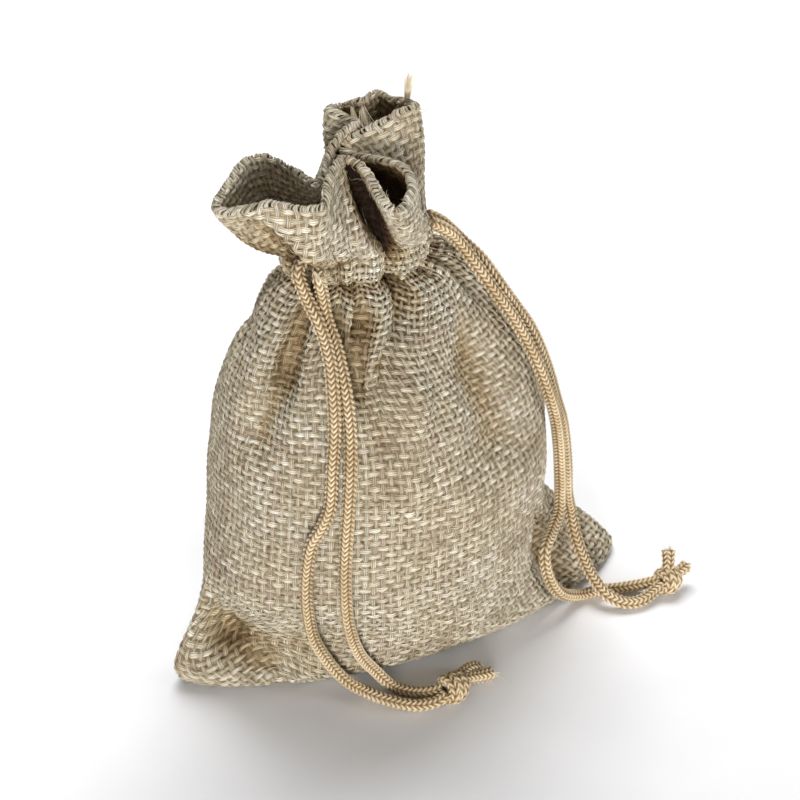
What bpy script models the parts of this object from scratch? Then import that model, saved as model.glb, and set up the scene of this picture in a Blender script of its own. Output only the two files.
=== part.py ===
"""A small drawstring sack of coarse plain-woven burlap, standing full on a table.

One length of cloth is folded at the bottom, seamed up both sides, turned over at the top to a
double heading and gathered on two drawcords, which hang in loops to knots on the table.
Lengths in the tables are millimetres; the meshes are in metres, +Z up, front towards -Y.
"""
import math

import bmesh
import bpy
import numpy as np
from mathutils import Vector

MM = 0.001

# Cloth
FLAT_WIDTH = 90.0            # the empty sack laid flat
CLOTH_THICK = 1.0            # wall of the body
HEADING_THICK = 1.4          # turned-over double cloth at the rim
FLAP_HALF = 0.80             # half the distance between the two layers of a flat corner
HEADING_LENGTH = 20.0        # free cloth above the cords
COLUMN_RUN = 2.2             # longest step between columns along the rim
COLUMN_TURN = 6.4            # longest step between columns round the neck, degrees
HEADING_ROWS = 9
SHARE_RIGHT_SEAM = 0.5       # of the way round, from the left side seam along the front
BASE_CORNERS = 8             # of the flat that the sack stands on
BASE_HALF_WIDTH, BASE_HALF_DEPTH = 41.0, 10.6
BASE_HOLLOW = 0.02           # how far its sides curve in between the corners, of its size

# Neck, where the cords gather the cloth
NECK_X, NECK_Y = -7.8, 0.6
NECK_HALF_WIDTH, NECK_HALF_DEPTH = 11.8, 7.6
NECK_TOP = 82.0
CORE_HALF_WIDTH, CORE_HALF_DEPTH = 3.6, 1.6      # the gap that the bunched cloth leaves
CORE_LEVELS = ((70.0, 0.0), (76.6, 1.0), (80.6, 1.0), (84.4, 0.0))  # level, share closed in
NECK_TILT = 0.12             # the gathers sit lower at the front than at the back

# Drawcords and their knots
CORD_THICK = 2.2
CORD_STEP = 4.8              # distance between the points of a cord's solid
KNOT_RIDGE = 0.06            # depth of the grooves between a knot's turns, of its size
TAIL_STEP = 1.6              # distance between the rings of a knot's tail
TAIL_SIDES = 12

# Stations round the rim of the heading, from the left side seam along the front to the right
# side seam and back behind: place of the rim, angle at the neck that the cloth there springs
# from, and how far the heading between the two bows out and leans sideways.
RIM_COLUMNS = ("name", "x", "y", "z", "neck_deg", "bow", "lean")
RIM = (
    ("left_tip", -34.8, -3.0, 94.8, 180, 1.6, 0.0),
    ("left_front_a", -33.9, -6.0, 94.9, 188, 1.8, 0.0),
    ("left_front_b", -32.1, -9.0, 97.0, 197, 2.0, 0.0),
    ("left_front_c", -29.3, -11.0, 98.2, 207, 2.4, 0.0),
    ("left_front_d", -25.5, -13.0, 96.9, 218, 3.0, 0.0),
    ("front_corner", -20.9, -13.0, 96.0, 230, 3.4, 0.0),
    ("front_band_a", -18.0, -9.0, 97.0, 243, 3.6, 0.0),
    ("front_band_b", -15.4, -6.2, 97.7, 256, 3.4, 0.5),
    ("slit_crest", -13.5, -4.6, 98.0, 267, 3.4, 1.5),
    ("slit_back", -12.2, -3.2, 97.8, 273, -1.3, -2.8),
    ("slit_top", -11.1, -4.3, 97.6, 281, -2.2, 0.0),
    ("fore_left_a", -10.8, -6.6, 97.9, 286, -1.0, 0.0),
    ("fore_left_b", -10.8, -10.0, 97.2, 290, 0.4, 0.0),
    ("fore_left_c", -11.5, -15.5, 96.3, 295, 0.8, 0.0),
    ("fore_tip", -10.6, -18.5, 95.5, 300, 1.5, 0.0),
    ("fore_right_a", -7.1, -16.0, 94.4, 305, 1.5, 0.0),
    ("fore_right_b", -4.2, -12.0, 94.9, 310, 1.5, 0.0),
    ("fore_right_c", -3.8, -7.5, 96.1, 315, 1.0, 0.0),
    ("fore_right_d", -6.5, -4.0, 96.6, 320, -1.0, 0.0),
    ("curl_a", -10.3, -2.0, 97.5, 325, -1.4, 0.0),
    ("curl_b", -10.7, -0.5, 98.4, 331, -1.0, 0.0),
    ("right_a", -8.0, 0.5, 99.1, 337, 0.0, 0.0),
    ("right_b", -4.0, 0.5, 100.1, 343, 0.5, 0.0),
    ("right_c", 0.5, 1.0, 101.3, 351, 1.0, 0.0),
    ("right_tip", 4.0, 2.5, 100.8, 360, 0.6, 0.0),
    ("back_a", 4.4, 6.0, 99.9, 376, 1.0, 0.0),
    ("back_b", 3.3, 9.0, 99.2, 392, 1.0, 0.0),
    ("back_c", 1.2, 10.7, 100.3, 404, 1.0, 0.0),
    ("back_d", -2.1, 9.2, 100.4, 414, 0.8, 0.0),
    ("back_e", -5.7, 10.0, 99.7, 426, 0.8, 0.0),
    ("back_left_tip", -9.5, 7.0, 101.4, 446, 1.0, 0.8),
    ("back_left_a", -7.5, 5.0, 100.5, 453, 0.0, 0.0),
    ("left_notch", -6.2, 3.0, 99.8, 462, -0.4, 0.0),
    ("left_band_a", -9.7, 1.5, 99.9, 470, 0.0, 0.0),
    ("left_band_b", -12.3, 0.0, 98.5, 477, 0.0, 0.0),
    ("left_band_c", -14.3, -2.0, 96.3, 484, -0.3, 0.0),
    ("left_root", -16.2, -4.0, 94.4, 491, -1.4, 0.0),
    ("left_back_a", -16.6, 0.0, 93.2, 499, 0.3, 0.0),
    ("left_back_b", -18.2, 4.0, 94.1, 507, 1.5, 0.0),
    ("left_back_c", -22.0, 5.0, 96.6, 516, 2.0, 0.0),
    ("left_back_d", -26.3, 4.0, 97.2, 526, 2.0, 0.0),
    ("left_back_e", -30.4, 1.0, 96.2, 534, 1.6, 0.0),
)

# Level sections of the body. crown and tip shape half the outline as (1 - |x|**crown)**tip:
# a low tip power gives an oval, a high one a flat corner flap. gather runs from 0, a filled
# section, to 1, the pleated neck.
SECTION_COLUMNS = ("z", "left", "right", "front", "back", "y", "crown", "tip", "gather")
SECTIONS = (
    (0.9, -43.0, 44.6, 12.6, 12.4, 0.0, 2.4, 0.80, 0.0),
    (1.9, -43.9, 44.4, 14.4, 14.0, 0.0, 2.4, 0.90, 0.0),
    (4.0, -44.5, 43.0, 16.6, 16.2, 0.0, 2.4, 1.10, 0.0),
    (7.5, -43.3, 40.4, 18.6, 18.2, 0.0, 2.4, 1.55, 0.0),
    (11.5, -41.3, 36.6, 20.2, 19.9, 0.0, 2.4, 1.70, 0.0),
    (16.0, -39.1, 31.6, 21.4, 21.3, 0.0, 2.3, 1.15, 0.0),
    (21.0, -37.2, 27.8, 22.2, 22.4, 0.0, 2.2, 0.70, 0.0),
    (27.0, -35.8, 26.4, 22.8, 23.0, 0.0, 2.1, 0.56, 0.0),
    (34.0, -34.6, 26.0, 23.0, 23.2, 0.0, 2.0, 0.50, 0.0),
    (41.0, -34.2, 25.7, 22.6, 23.0, 0.0, 2.0, 0.50, 0.0),
    (48.0, -33.5, 24.7, 21.4, 22.0, 0.0, 2.0, 0.50, 0.0),
    (54.5, -32.3, 23.0, 19.6, 20.0, 0.2, 2.0, 0.50, 0.05),
    (60.5, -30.8, 20.2, 17.6, 17.2, 0.3, 2.0, 0.50, 0.15),
    (65.5, -28.8, 17.6, 15.4, 14.8, 0.4, 2.0, 0.50, 0.35),
    (70.0, -26.0, 14.4, 13.0, 12.4, 0.5, 2.0, 0.50, 0.65),
    (74.0, -23.0, 10.2, 9.8, 9.8, 0.6, 2.0, 0.50, 0.90),
)

# Rings of the gathered neck: height, growth of the outline and depth of the pleats.
NECK_COLUMNS = ("z", "grow", "pleat")
NECK = (
    (76.6, -0.2, 0.85),
    (77.9, 1.2, 0.7),
    (80.0, 1.5, 0.7),
    (NECK_TOP, 0.9, 0.8),
)

# Pleats that the cords press into the neck: angle round it, half width in degrees and depth.
PLEAT_COLUMNS = ("name", "neck_deg", "half_deg", "depth")
PLEATS = (
    ("left_pocket", 212, 8, 2.2),
    ("left_valley", 234, 7, 2.4),
    ("front_valley", 254, 6, 2.0),
    ("slit", 277, 7, 4.0),
    ("fore_right", 328, 8, 2.4),
    ("right_exit", 354, 7, 1.2),
    ("back_right", 384, 8, 2.0),
    ("back_mid_right", 410, 8, 2.2),
    ("back_mid_left", 438, 8, 1.9),
    ("back_left", 466, 8, 2.4),
    ("left_root", 495, 8, 2.8),
    ("left_back", 522, 8, 1.8),
)

# Folds pressed into the cloth along straight lines on it: the share of the way round and the
# level of both ends, half width, and height, outward from the cloth. Levels are heights on the
# body, and run on above NECK_TOP as cloth length up the heading.
FOLD_COLUMNS = ("name", "share_a", "level_a", "share_b", "level_b", "half", "height")
FOLDS = (
    ("right_hollow_top", 0.315, 73.0, 0.338, 62.0, 6.5, -2.0),
    ("right_hollow", 0.338, 60.0, 0.335, 48.0, 9.0, -2.6),
    ("right_hollow_lip", 0.270, 41.0, 0.345, 38.0, 5.0, 0.9),
    ("front_ridge_top", 0.174, 74.5, 0.200, 67.0, 3.2, 1.2),
    ("front_ridge", 0.200, 67.0, 0.221, 59.0, 3.8, 1.7),
    ("front_ridge_end", 0.221, 59.0, 0.216, 45.0, 4.4, 1.8),
    ("slit_tail", 0.199, 75.0, 0.204, 69.0, 2.8, -1.4),
    ("cord_valley", 0.103, 73.5, 0.130, 69.5, 2.2, -1.6),
    ("cord_valley_end", 0.134, 68.5, 0.160, 62.0, 2.6, -1.2),
    ("thin_pleat", 0.122, 74.5, 0.141, 69.0, 1.6, 0.7),
    ("dark_valley", 0.143, 75.5, 0.157, 71.0, 2.2, -1.8),
    ("dark_valley_end", 0.157, 70.0, 0.170, 62.0, 3.0, -2.0),
    ("left_valley_top", 0.068, 70.5, 0.066, 64.0, 3.6, -1.8),
    ("left_valley", 0.066, 63.0, 0.050, 54.0, 4.4, -2.2),
    ("left_ridge", 0.044, 70.0, 0.034, 57.0, 3.2, 1.2),
    ("left_corner_crease", 0.009, 17.0, 0.048, 11.0, 3.4, -1.8),
    ("left_corner_crease_end", 0.048, 11.0, 0.090, 6.5, 3.0, -1.6),
    ("right_corner_crease", 0.412, 30.0, 0.428, 18.0, 3.6, -1.8),
    ("right_corner_crease_end", 0.428, 18.0, 0.405, 7.0, 3.4, -1.8),
    ("back_right_valley", 0.600, 72.0, 0.618, 50.0, 5.0, -2.0),
    ("back_right_ridge", 0.655, 72.0, 0.660, 50.0, 4.6, 1.4),
    ("back_mid_valley", 0.705, 71.0, 0.700, 46.0, 5.4, -2.4),
    ("back_left_ridge", 0.755, 71.0, 0.752, 52.0, 4.4, 1.2),
    ("back_left_valley", 0.810, 71.0, 0.798, 50.0, 5.0, -2.0),
    ("back_side_valley", 0.905, 70.0, 0.900, 56.0, 4.4, -1.8),
    ("left_back_notch", 0.955, 68.5, 0.985, 67.0, 2.2, -1.6),
    ("back_right_crease", 0.575, 26.0, 0.600, 7.0, 3.6, -1.8),
    ("back_left_crease", 0.925, 24.0, 0.895, 7.0, 3.6, -1.8),
    ("lobe_crease_tip", 0.046, 102.0, 0.072, 99.2, 2.0, 0.6),
    ("lobe_crease", 0.072, 99.2, 0.100, 93.0, 2.2, 1.2),
    ("lobe_crease_end", 0.100, 93.0, 0.112, 84.0, 2.4, 1.4),
    ("lobe_hollow_tip", 0.026, 97.0, 0.056, 94.0, 3.4, -1.0),
    ("lobe_hollow", 0.056, 94.0, 0.082, 87.0, 3.6, -1.6),
    ("band_ridge", 0.150, 98.0, 0.156, 87.0, 3.0, 0.8),
)

# Routes of the four strands, from where they leave the neck to their knots.
LEFT_OUTER = (
    (-21.4, -4.9, 79.8), (-20.9, -6.8, 76.2), (-20.4, -9.6, 73.4), (-20.0, -11.6, 70.0),
    (-20.3, -14.0, 66.8), (-21.0, -16.2, 62.6), (-21.6, -17.8, 56.6), (-22.8, -19.2, 50.6),
    (-23.8, -20.2, 44.0), (-25.3, -19.8, 39.6), (-26.8, -19.1, 36.4), (-27.6, -18.7, 31.0),
    (-27.7, -18.4, 24.0), (-26.2, -17.4, 15.6), (-23.2, -16.9, 8.8), (-20.2, -17.6, 4.0),
    (-17.4, -18.9, 1.6), (-14.9, -22.4, 1.15), (-11.4, -26.2, 1.15), (-7.9, -27.8, 1.6),
)
LEFT_INNER = (
    (-18.7, -7.2, 79.0), (-18.3, -7.4, 76.2), (-18.2, -8.6, 72.2), (-17.8, -10.6, 69.0),
    (-18.1, -13.3, 65.8), (-18.5, -16.0, 61.8), (-19.1, -18.5, 56.2), (-20.2, -20.6, 50.0),
    (-21.2, -21.7, 43.0), (-21.9, -22.0, 36.0), (-22.2, -22.0, 28.4), (-21.5, -21.5, 19.6),
    (-18.9, -20.1, 11.4), (-15.1, -18.8, 5.2), (-12.4, -20.0, 1.7), (-10.2, -22.6, 1.15),
    (-7.4, -25.3, 2.0),
)
RIGHT_FRONT = (
    (6.9, -2.9, 79.7), (8.9, -3.1, 77.6), (11.1, -4.8, 73.9), (13.3, -7.7, 69.5),
    (15.2, -8.9, 66.0), (17.0, -10.0, 62.6), (18.6, -11.3, 58.8), (20.2, -12.9, 54.0),
    (22.0, -13.6, 48.4), (24.2, -12.6, 41.8), (26.2, -10.6, 34.8), (27.8, -8.8, 27.4),
    (28.9, -7.3, 21.4), (28.6, -7.7, 17.6), (26.0, -9.8, 15.8), (22.2, -13.6, 14.6),
    (22.4, -14.8, 9.8), (25.2, -14.5, 4.9), (30.0, -12.9, 1.6), (34.4, -12.9, 1.15),
    (39.0, -14.3, 1.15), (43.1, -16.1, 1.9),
)
RIGHT_BACK = (
    (7.7, 0.3, 79.6), (9.6, 0.1, 77.6), (11.8, -0.7, 74.9), (13.9, -3.7, 72.2),
    (16.1, -6.7, 67.8), (18.2, -7.3, 64.2), (20.6, -8.2, 60.0), (22.4, -9.2, 55.4),
    (24.2, -9.6, 49.8), (26.1, -9.0, 43.8), (28.5, -7.9, 36.8), (30.5, -6.4, 27.4),
    (31.7, -5.2, 19.4), (32.8, -4.8, 14.8), (32.6, -7.2, 10.4), (33.2, -10.4, 5.8),
    (33.5, -13.0, 3.9), (34.2, -16.2, 2.4), (36.8, -18.6, 1.3), (40.0, -19.2, 1.2),
    (42.9, -18.5, 1.7),
)

# Knots: middle, half lengths along their cord, across and high, and turn in degrees.
KNOT_COLUMNS = ("name", "x", "y", "z", "along", "across", "high", "turn")
KNOTS = (
    ("knot_left", -4.3, -26.8, 2.7, 3.0, 2.8, 2.68, 8.0),
    ("knot_right", 46.0, -17.5, 2.5, 2.75, 2.6, 2.48, 4.0),
)

# Tails of the knots, from inside the knot to the cut end.
LEFT_TAIL_FRONT = ((-3.0, -26.4, 2.9), (-0.8, -25.7, 2.7), (2.2, -25.3, 1.8), (4.9, -25.1, 1.3))
LEFT_TAIL_BACK = ((-3.4, -25.8, 3.0), (-0.6, -24.4, 3.0), (1.6, -23.3, 2.4), (3.5, -22.6, 1.4))
RIGHT_TAIL_UP = ((46.3, -17.2, 3.4), (46.9, -16.8, 4.8), (47.4, -16.0, 6.2), (47.7, -15.4, 7.4))
RIGHT_TAIL_OUT = ((46.6, -17.4, 2.8), (48.4, -17.3, 3.0), (49.8, -17.0, 3.2), (51.0, -16.7, 3.5))


def column(table, names, name):
    """One named column of a table, as an array."""
    place = names.index(name)
    return np.array([row[place] for row in table])


def blend(before, start, end, after, t):
    """A point of the Catmull-Rom curve between start and end."""
    return 0.5 * (2 * start + (end - before) * t
                  + (2 * before - 5 * start + 4 * end - after) * t * t
                  + (3 * start - before - 3 * end + after) * t * t * t)


def closed_curve(points, counts):
    """A smooth closed curve through the points, in counts steps from each to the next."""
    size = len(points)
    out = []
    for index, count in enumerate(counts):
        picks = [points[(index + shift) % size] for shift in (-1, 0, 1, 2)]
        out.extend(blend(*picks, step / count) for step in range(count))
    return np.array(out)


def open_curve(points, step):
    """A smooth open curve through the points, cut into nearly equal steps."""
    points = np.asarray(points, dtype=float)
    last = len(points) - 1
    fine = []
    for index in range(last):
        picks = [points[min(max(index + shift, 0), last)] for shift in (-1, 0, 1, 2)]
        fine.extend(blend(*picks, part / 12) for part in range(12))
    fine.append(points[-1])
    fine = np.array(fine)
    run = np.concatenate([[0], np.cumsum(np.linalg.norm(np.diff(fine, axis=0), axis=1))])
    even = np.linspace(0, run[-1], max(2, round(run[-1] / step) + 1))
    return np.column_stack([np.interp(even, run, fine[:, axis]) for axis in range(3)])


def rim_curve():
    """Rim points, neck angles, bows, leans and shares of the way round, for every column."""
    place = np.stack([column(RIM, RIM_COLUMNS, axis) for axis in "xyz"], axis=1)
    angles = np.append(column(RIM, RIM_COLUMNS, "neck_deg"), 180 + 360)
    bows, leans = (np.append(values, values[0]) for values in
                   (column(RIM, RIM_COLUMNS, "bow"), column(RIM, RIM_COLUMNS, "lean")))
    chords = np.linalg.norm(np.roll(place, -1, axis=0) - place, axis=1)
    counts = np.maximum(np.rint(chords / COLUMN_RUN), np.rint(np.diff(angles) / COLUMN_TURN))
    counts = np.maximum(counts, 1).astype(int)
    rim = closed_curve(place, counts)
    steps = np.concatenate([index + np.arange(count) / count
                            for index, count in enumerate(counts)])
    stations = np.arange(len(RIM) + 1)
    right_seam = column(RIM, RIM_COLUMNS, "name").tolist().index("right_tip")
    split = counts[:right_seam].sum()
    spans = np.linalg.norm(np.roll(rim, -1, axis=0) - rim, axis=1)
    front, back = spans[:split], spans[split:]
    share = np.concatenate([(np.cumsum(front) - front) / front.sum() * 0.5,
                            0.5 + (np.cumsum(back) - back) / back.sum() * 0.5])
    angles, bows, leans = (np.interp(steps, stations, values)
                           for values in (angles, bows, leans))
    return rim, angles, bows, leans, share


def half_outline(half_width, depth, crown, tip, dense=400):
    """One side of a level section from its left end to its right, with the run along it."""
    across = -np.cos(np.linspace(0.0, math.pi, dense))
    bulge = depth * np.clip(1 - np.abs(across) ** crown, 0, None) ** tip
    flap = FLAP_HALF * np.clip(1 - np.abs(across) ** 30, 0, None) ** 0.5
    outline = np.stack([half_width * across, bulge + flap], axis=1)
    spans = np.linalg.norm(np.diff(outline, axis=0), axis=1)
    run = np.concatenate([[0.0], np.cumsum(spans)])
    return run / run[-1], outline


def section_ring(values, share):
    """The outline of one filled section at every share of the way round."""
    half_width = (values["right"] - values["left"]) / 2
    middle = (values["right"] + values["left"]) / 2
    front = share < SHARE_RIGHT_SEAM
    ring = np.zeros((len(share), 3))
    ring[:, 2] = values["z"]
    for chosen, along, depth in ((front, share * 2, -values["front"]),
                                 (~front, 2 - share * 2, values["back"])):
        run, outline = half_outline(half_width, abs(depth), values["crown"], values["tip"])
        side = math.copysign(1.0, depth)
        ring[chosen, 0] = middle + np.interp(along[chosen], run, outline[:, 0])
        ring[chosen, 1] = values["y"] + side * np.interp(along[chosen], run, outline[:, 1])
    return ring


def neck_ring(z, grow, pleat, angles):
    """One ring of the gathered neck."""
    turn = np.radians(angles)
    squeeze = np.zeros(len(angles))
    for row in PLEATS:
        values = dict(zip(PLEAT_COLUMNS, row))
        away = (angles - values["neck_deg"] + 180) % 360 - 180
        squeeze += values["depth"] * pleat * np.exp(-(away / values["half_deg"]) ** 2)
    ring = np.zeros((len(angles), 3))
    ring[:, 0] = NECK_X + (NECK_HALF_WIDTH + grow - squeeze) * np.cos(turn)
    ring[:, 1] = NECK_Y + (NECK_HALF_DEPTH + grow - squeeze) * np.sin(turn)
    ring[:, 2] = z + NECK_TILT * (ring[:, 1] - NECK_Y)
    return ring


def gathered_ring(values, share, angles):
    """A section of the shoulder, part filled outline and part pleated neck."""
    filled = section_ring(values, share)
    if not values["gather"]:
        return filled
    pleated = neck_ring(values["z"], 0.0, 1.0, angles)
    widen = (values["right"] - values["left"]) / 2 / NECK_HALF_WIDTH
    middle = (values["right"] + values["left"]) / 2
    pleated[:, 0] = middle + (pleated[:, 0] - NECK_X) * widen
    pleated[:, 1] = values["y"] + (pleated[:, 1] - NECK_Y) * widen
    return filled * (1 - values["gather"]) + pleated * values["gather"]


def outward(rows):
    """The cloth's outward direction at every point of its rows."""
    along = np.roll(rows, -1, axis=1) - np.roll(rows, 1, axis=1)
    up = np.gradient(rows, axis=0)
    facing = np.cross(along, up)
    return facing / np.linalg.norm(facing, axis=2)[:, :, None]


def press_folds(rows, share, levels):
    """Move the cloth along its facing by every fold of the table."""
    around = share[None, :] * 2 * FLAT_WIDTH
    moved = np.zeros(rows.shape[:2])
    for row in FOLDS:
        values = dict(zip(FOLD_COLUMNS, row))
        start = np.array([values["share_a"] * 2 * FLAT_WIDTH, values["level_a"]])
        line = np.array([values["share_b"] * 2 * FLAT_WIDTH, values["level_b"]]) - start
        away = np.stack(np.broadcast_arrays(around - start[0], levels[:, None] - start[1]))
        along = np.clip((away[0] * line[0] + away[1] * line[1]) / (line @ line), 0, 1)
        gap = np.hypot(away[0] - along * line[0], away[1] - along * line[1])
        moved += values["height"] * np.exp(-(gap / values["half"]) ** 2)
    moved[levels <= SECTIONS[0][0]] = 0.0
    return rows + outward(rows) * moved[:, :, None]


def base_ring(edge):
    """The flat that the sack stands on: slightly hollow sides between its corners."""
    turn = np.arctan2(edge[:, 1] / BASE_HALF_DEPTH, edge[:, 0] / BASE_HALF_WIDTH)
    targets = math.pi * ((2 * np.arange(BASE_CORNERS) + 1) / BASE_CORNERS - 1)
    picks = [int(np.argmin(np.abs(turn - target))) for target in targets]
    around = len(edge)
    ring = np.zeros((around, 3))
    ring[:, 2] = CLOTH_THICK / 2
    for first, last in zip(picks, picks[1:] + [picks[0] + around]):
        ends = [np.array([BASE_HALF_WIDTH * math.cos(turn[pick % around]),
                          BASE_HALF_DEPTH * math.sin(turn[pick % around])])
                for pick in (first, last)]
        for index in range(first, last):
            part = (index - first) / (last - first)
            inset = 1 - BASE_HOLLOW * math.sin(math.pi * part)
            ring[index % around, :2] = (ends[0] * (1 - part) + ends[1] * part) * inset
    return ring


def cloth_rows():
    """Rows of points on the middle of the cloth, from its base up to the rim, and their levels."""
    rim, angles, bows, leans, share = rim_curve()
    rows = []
    levels = []
    for row in SECTIONS:
        values = dict(zip(SECTION_COLUMNS, row))
        rows.append(gathered_ring(values, share, angles))
        levels.append(values["z"])
    rows.insert(0, base_ring(rows[0]))
    levels.insert(0, 0.0)
    for z, grow, pleat in NECK:
        rows.append(neck_ring(z, grow, pleat, angles))
        levels.append(z)
    root = rows[-1]
    out = rim[:, :2] - np.array([NECK_X, NECK_Y])
    out /= np.linalg.norm(out, axis=1)[:, None]
    aside = np.column_stack([-out[:, 1], out[:, 0]])
    bow = np.column_stack([out * 0.8 * bows[:, None] + aside * 0.8 * leans[:, None], -0.6 * bows])
    control = (root + rim) / 2 + 2 * bow
    for step in range(1, HEADING_ROWS + 1):
        t = step / HEADING_ROWS
        rows.append(root * (1 - t) ** 2 + control * 2 * t * (1 - t) + rim * t * t)
        levels.append(NECK_TOP + HEADING_LENGTH * t)
    levels = np.array(levels)
    return press_folds(np.array(rows), share, levels), levels


def skins():
    """The outer and the inner face of the cloth, which closes in on itself at the neck."""
    rows, levels = cloth_rows()
    angles = np.radians(rim_curve()[1])
    thick = np.interp(levels, (SECTIONS[-1][0], NECK_TOP), (CLOTH_THICK, HEADING_THICK))
    facing = outward(rows)
    facing = (np.roll(facing, 1, axis=1) + 2 * facing + np.roll(facing, -1, axis=1)) / 4
    half = facing * thick[:, None, None] / 2
    half[0] = (0.0, 0.0, -CLOTH_THICK / 2)
    core = rows.copy()
    core[:, :, 0] = NECK_X + CORE_HALF_WIDTH * np.cos(angles)
    core[:, :, 1] = NECK_Y + CORE_HALF_DEPTH * np.sin(angles)
    closed = np.interp(levels, *zip(*CORE_LEVELS))[:, None, None]
    return rows + half, (rows - half) * (1 - closed) + core * closed


def material(name, colour, roughness):
    """A plain finish."""
    finish = bpy.data.materials.new(name)
    finish.use_nodes = True
    shader = finish.node_tree.nodes["Principled BSDF"]
    shader.inputs["Base Color"].default_value = (*colour, 1.0)
    shader.inputs["Roughness"].default_value = roughness
    shader.inputs["Metallic"].default_value = 0.0
    return finish


def link_mesh(name, shape, collection, finish):
    """A new object from a finished bmesh."""
    bmesh.ops.recalc_face_normals(shape, faces=shape.faces)
    mesh = bpy.data.meshes.new(name)
    shape.to_mesh(mesh)
    shape.free()
    mesh.shade_smooth()
    mesh.materials.append(finish)
    made = bpy.data.objects.new(name, mesh)
    collection.objects.link(made)
    return made


def cloth_object(collection, finish):
    """The sack: outer face, rim and inner face in one loft, closed by its two base faces."""
    outer, inner = skins()
    shape = bmesh.new()
    grid = [[shape.verts.new(point * MM) for point in row] for row in (*outer, *inner[::-1])]
    around = len(grid[0])
    for index, (low, high) in enumerate(zip(grid[:-1], grid[1:])):
        for left in range(around):
            right = (left + 1) % around
            a, b, c, d = low[left], low[right], high[right], high[left]
            if index < len(outer):
                halves = ((a, b, c), (a, c, d))
            else:
                halves = ((a, b, d), (b, c, d))
            for corners in halves:
                shape.faces.new(corners)
    shape.faces.new(list(reversed(grid[0])))
    shape.faces.new(grid[-1])
    return link_mesh("sack_cloth", shape, collection, finish)


def tube_object(name, route, step, collection, finish):
    """A cord's solid: a round tube along a smooth curve through its route."""
    points = open_curve(route, step) * MM
    data = bpy.data.curves.new(name, "CURVE")
    data.dimensions = "3D"
    data.bevel_depth = CORD_THICK / 2 * MM
    data.bevel_resolution = 2
    data.use_fill_caps = True
    spline = data.splines.new("POLY")
    spline.points.add(len(points) - 1)
    for target, point in zip(spline.points, points):
        target.co = (*point, 1.0)
    data.materials.append(finish)
    cord = bpy.data.objects.new(name, data)
    collection.objects.link(cord)
    return cord


def tail_object(name, route, collection, finish):
    """A cut end of cord as a closed mesh tube."""
    points = open_curve(route, TAIL_STEP)
    shape = bmesh.new()
    rings = []
    for index, point in enumerate(points):
        ahead = points[min(index + 1, len(points) - 1)] - points[max(index - 1, 0)]
        ahead = Vector(ahead).normalized()
        side = ahead.cross(Vector((0.3, 0.9, 0.2))).normalized()
        over = ahead.cross(side)
        ring = []
        for corner in range(TAIL_SIDES):
            turn = 2 * math.pi * corner / TAIL_SIDES
            spot = Vector(point) + (side * math.cos(turn) + over * math.sin(turn)) * CORD_THICK / 2
            ring.append(shape.verts.new(spot * MM))
        rings.append(ring)
    for low, high in zip(rings[:-1], rings[1:]):
        for left in range(TAIL_SIDES):
            right = (left + 1) % TAIL_SIDES
            shape.faces.new((low[left], low[right], high[right], high[left]))
    shape.faces.new(list(reversed(rings[0])))
    shape.faces.new(rings[-1])
    tail = link_mesh(name, shape, collection, finish)
    tail.hide_render = True
    tail.display_type = "WIRE"
    return tail


def knot_object(values, tails, collection, finish):
    """An overhand knot of both strands: its turns as one ridged body, joined to two tails."""
    turn = math.radians(values["turn"])
    size = (values["along"], values["across"], values["high"])
    middle = Vector((values["x"], values["y"], values["z"]))
    shape = bmesh.new()
    bmesh.ops.create_uvsphere(shape, u_segments=24, v_segments=14, radius=1.0)
    for vert in shape.verts:
        groove = math.cos(2 * math.pi * (vert.co.x + 0.35 * vert.co.z))
        spot = Vector(part * half for part, half in zip(vert.co, size))
        spot *= 1 - KNOT_RIDGE / 2 * (1 - groove)
        along = spot.x * math.cos(turn) - spot.y * math.sin(turn)
        across = spot.x * math.sin(turn) + spot.y * math.cos(turn)
        vert.co = (middle + Vector((along, across, spot.z))) * MM
    knot = link_mesh(values["name"], shape, collection, finish)
    for tail in tails:
        joint = knot.modifiers.new(tail.name, "BOOLEAN")
        joint.operation = "UNION"
        joint.solver = "EXACT"
        joint.object = tail
    return knot


def main():
    for stale in list(bpy.data.objects):
        bpy.data.objects.remove(stale, do_unlink=True)
    parts = bpy.data.collections.new("burlap_sack")
    cutters = bpy.data.collections.new("cutters")
    bpy.context.scene.collection.children.link(parts)
    bpy.context.scene.collection.children.link(cutters)
    burlap = material("burlap", (0.50, 0.42, 0.28), 0.9)
    cord = material("cord", (0.52, 0.36, 0.20), 0.7)
    cloth_object(parts, burlap)
    for name, route in (("cord_left_outer", LEFT_OUTER), ("cord_left_inner", LEFT_INNER),
                        ("cord_right_front", RIGHT_FRONT), ("cord_right_back", RIGHT_BACK)):
        tube_object(name, route, CORD_STEP, parts, cord)
    for row, routes in zip(KNOTS, ((LEFT_TAIL_FRONT, LEFT_TAIL_BACK),
                                   (RIGHT_TAIL_UP, RIGHT_TAIL_OUT))):
        values = dict(zip(KNOT_COLUMNS, row))
        tails = [tail_object(f"{values['name']}_tail_{number}", route, cutters, cord)
                 for number, route in enumerate(routes, 1)]
        knot_object(values, tails, parts, cord)


main()
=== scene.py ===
"""The looks of a small drawstring sack of coarse burlap, standing full on a pale floor.

Every yarn of the cloth is a ribbon of its own, woven over and under the others on a closed
ground sheet that has the sack's shape. The tables and functions of the shape are the part's own.
Lengths are millimetres until the meshes are made; +Z is up and the front is towards -Y.
"""

import math

import bmesh
import bpy
import numpy as np
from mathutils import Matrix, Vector
from mathutils.bvhtree import BVHTree


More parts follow.
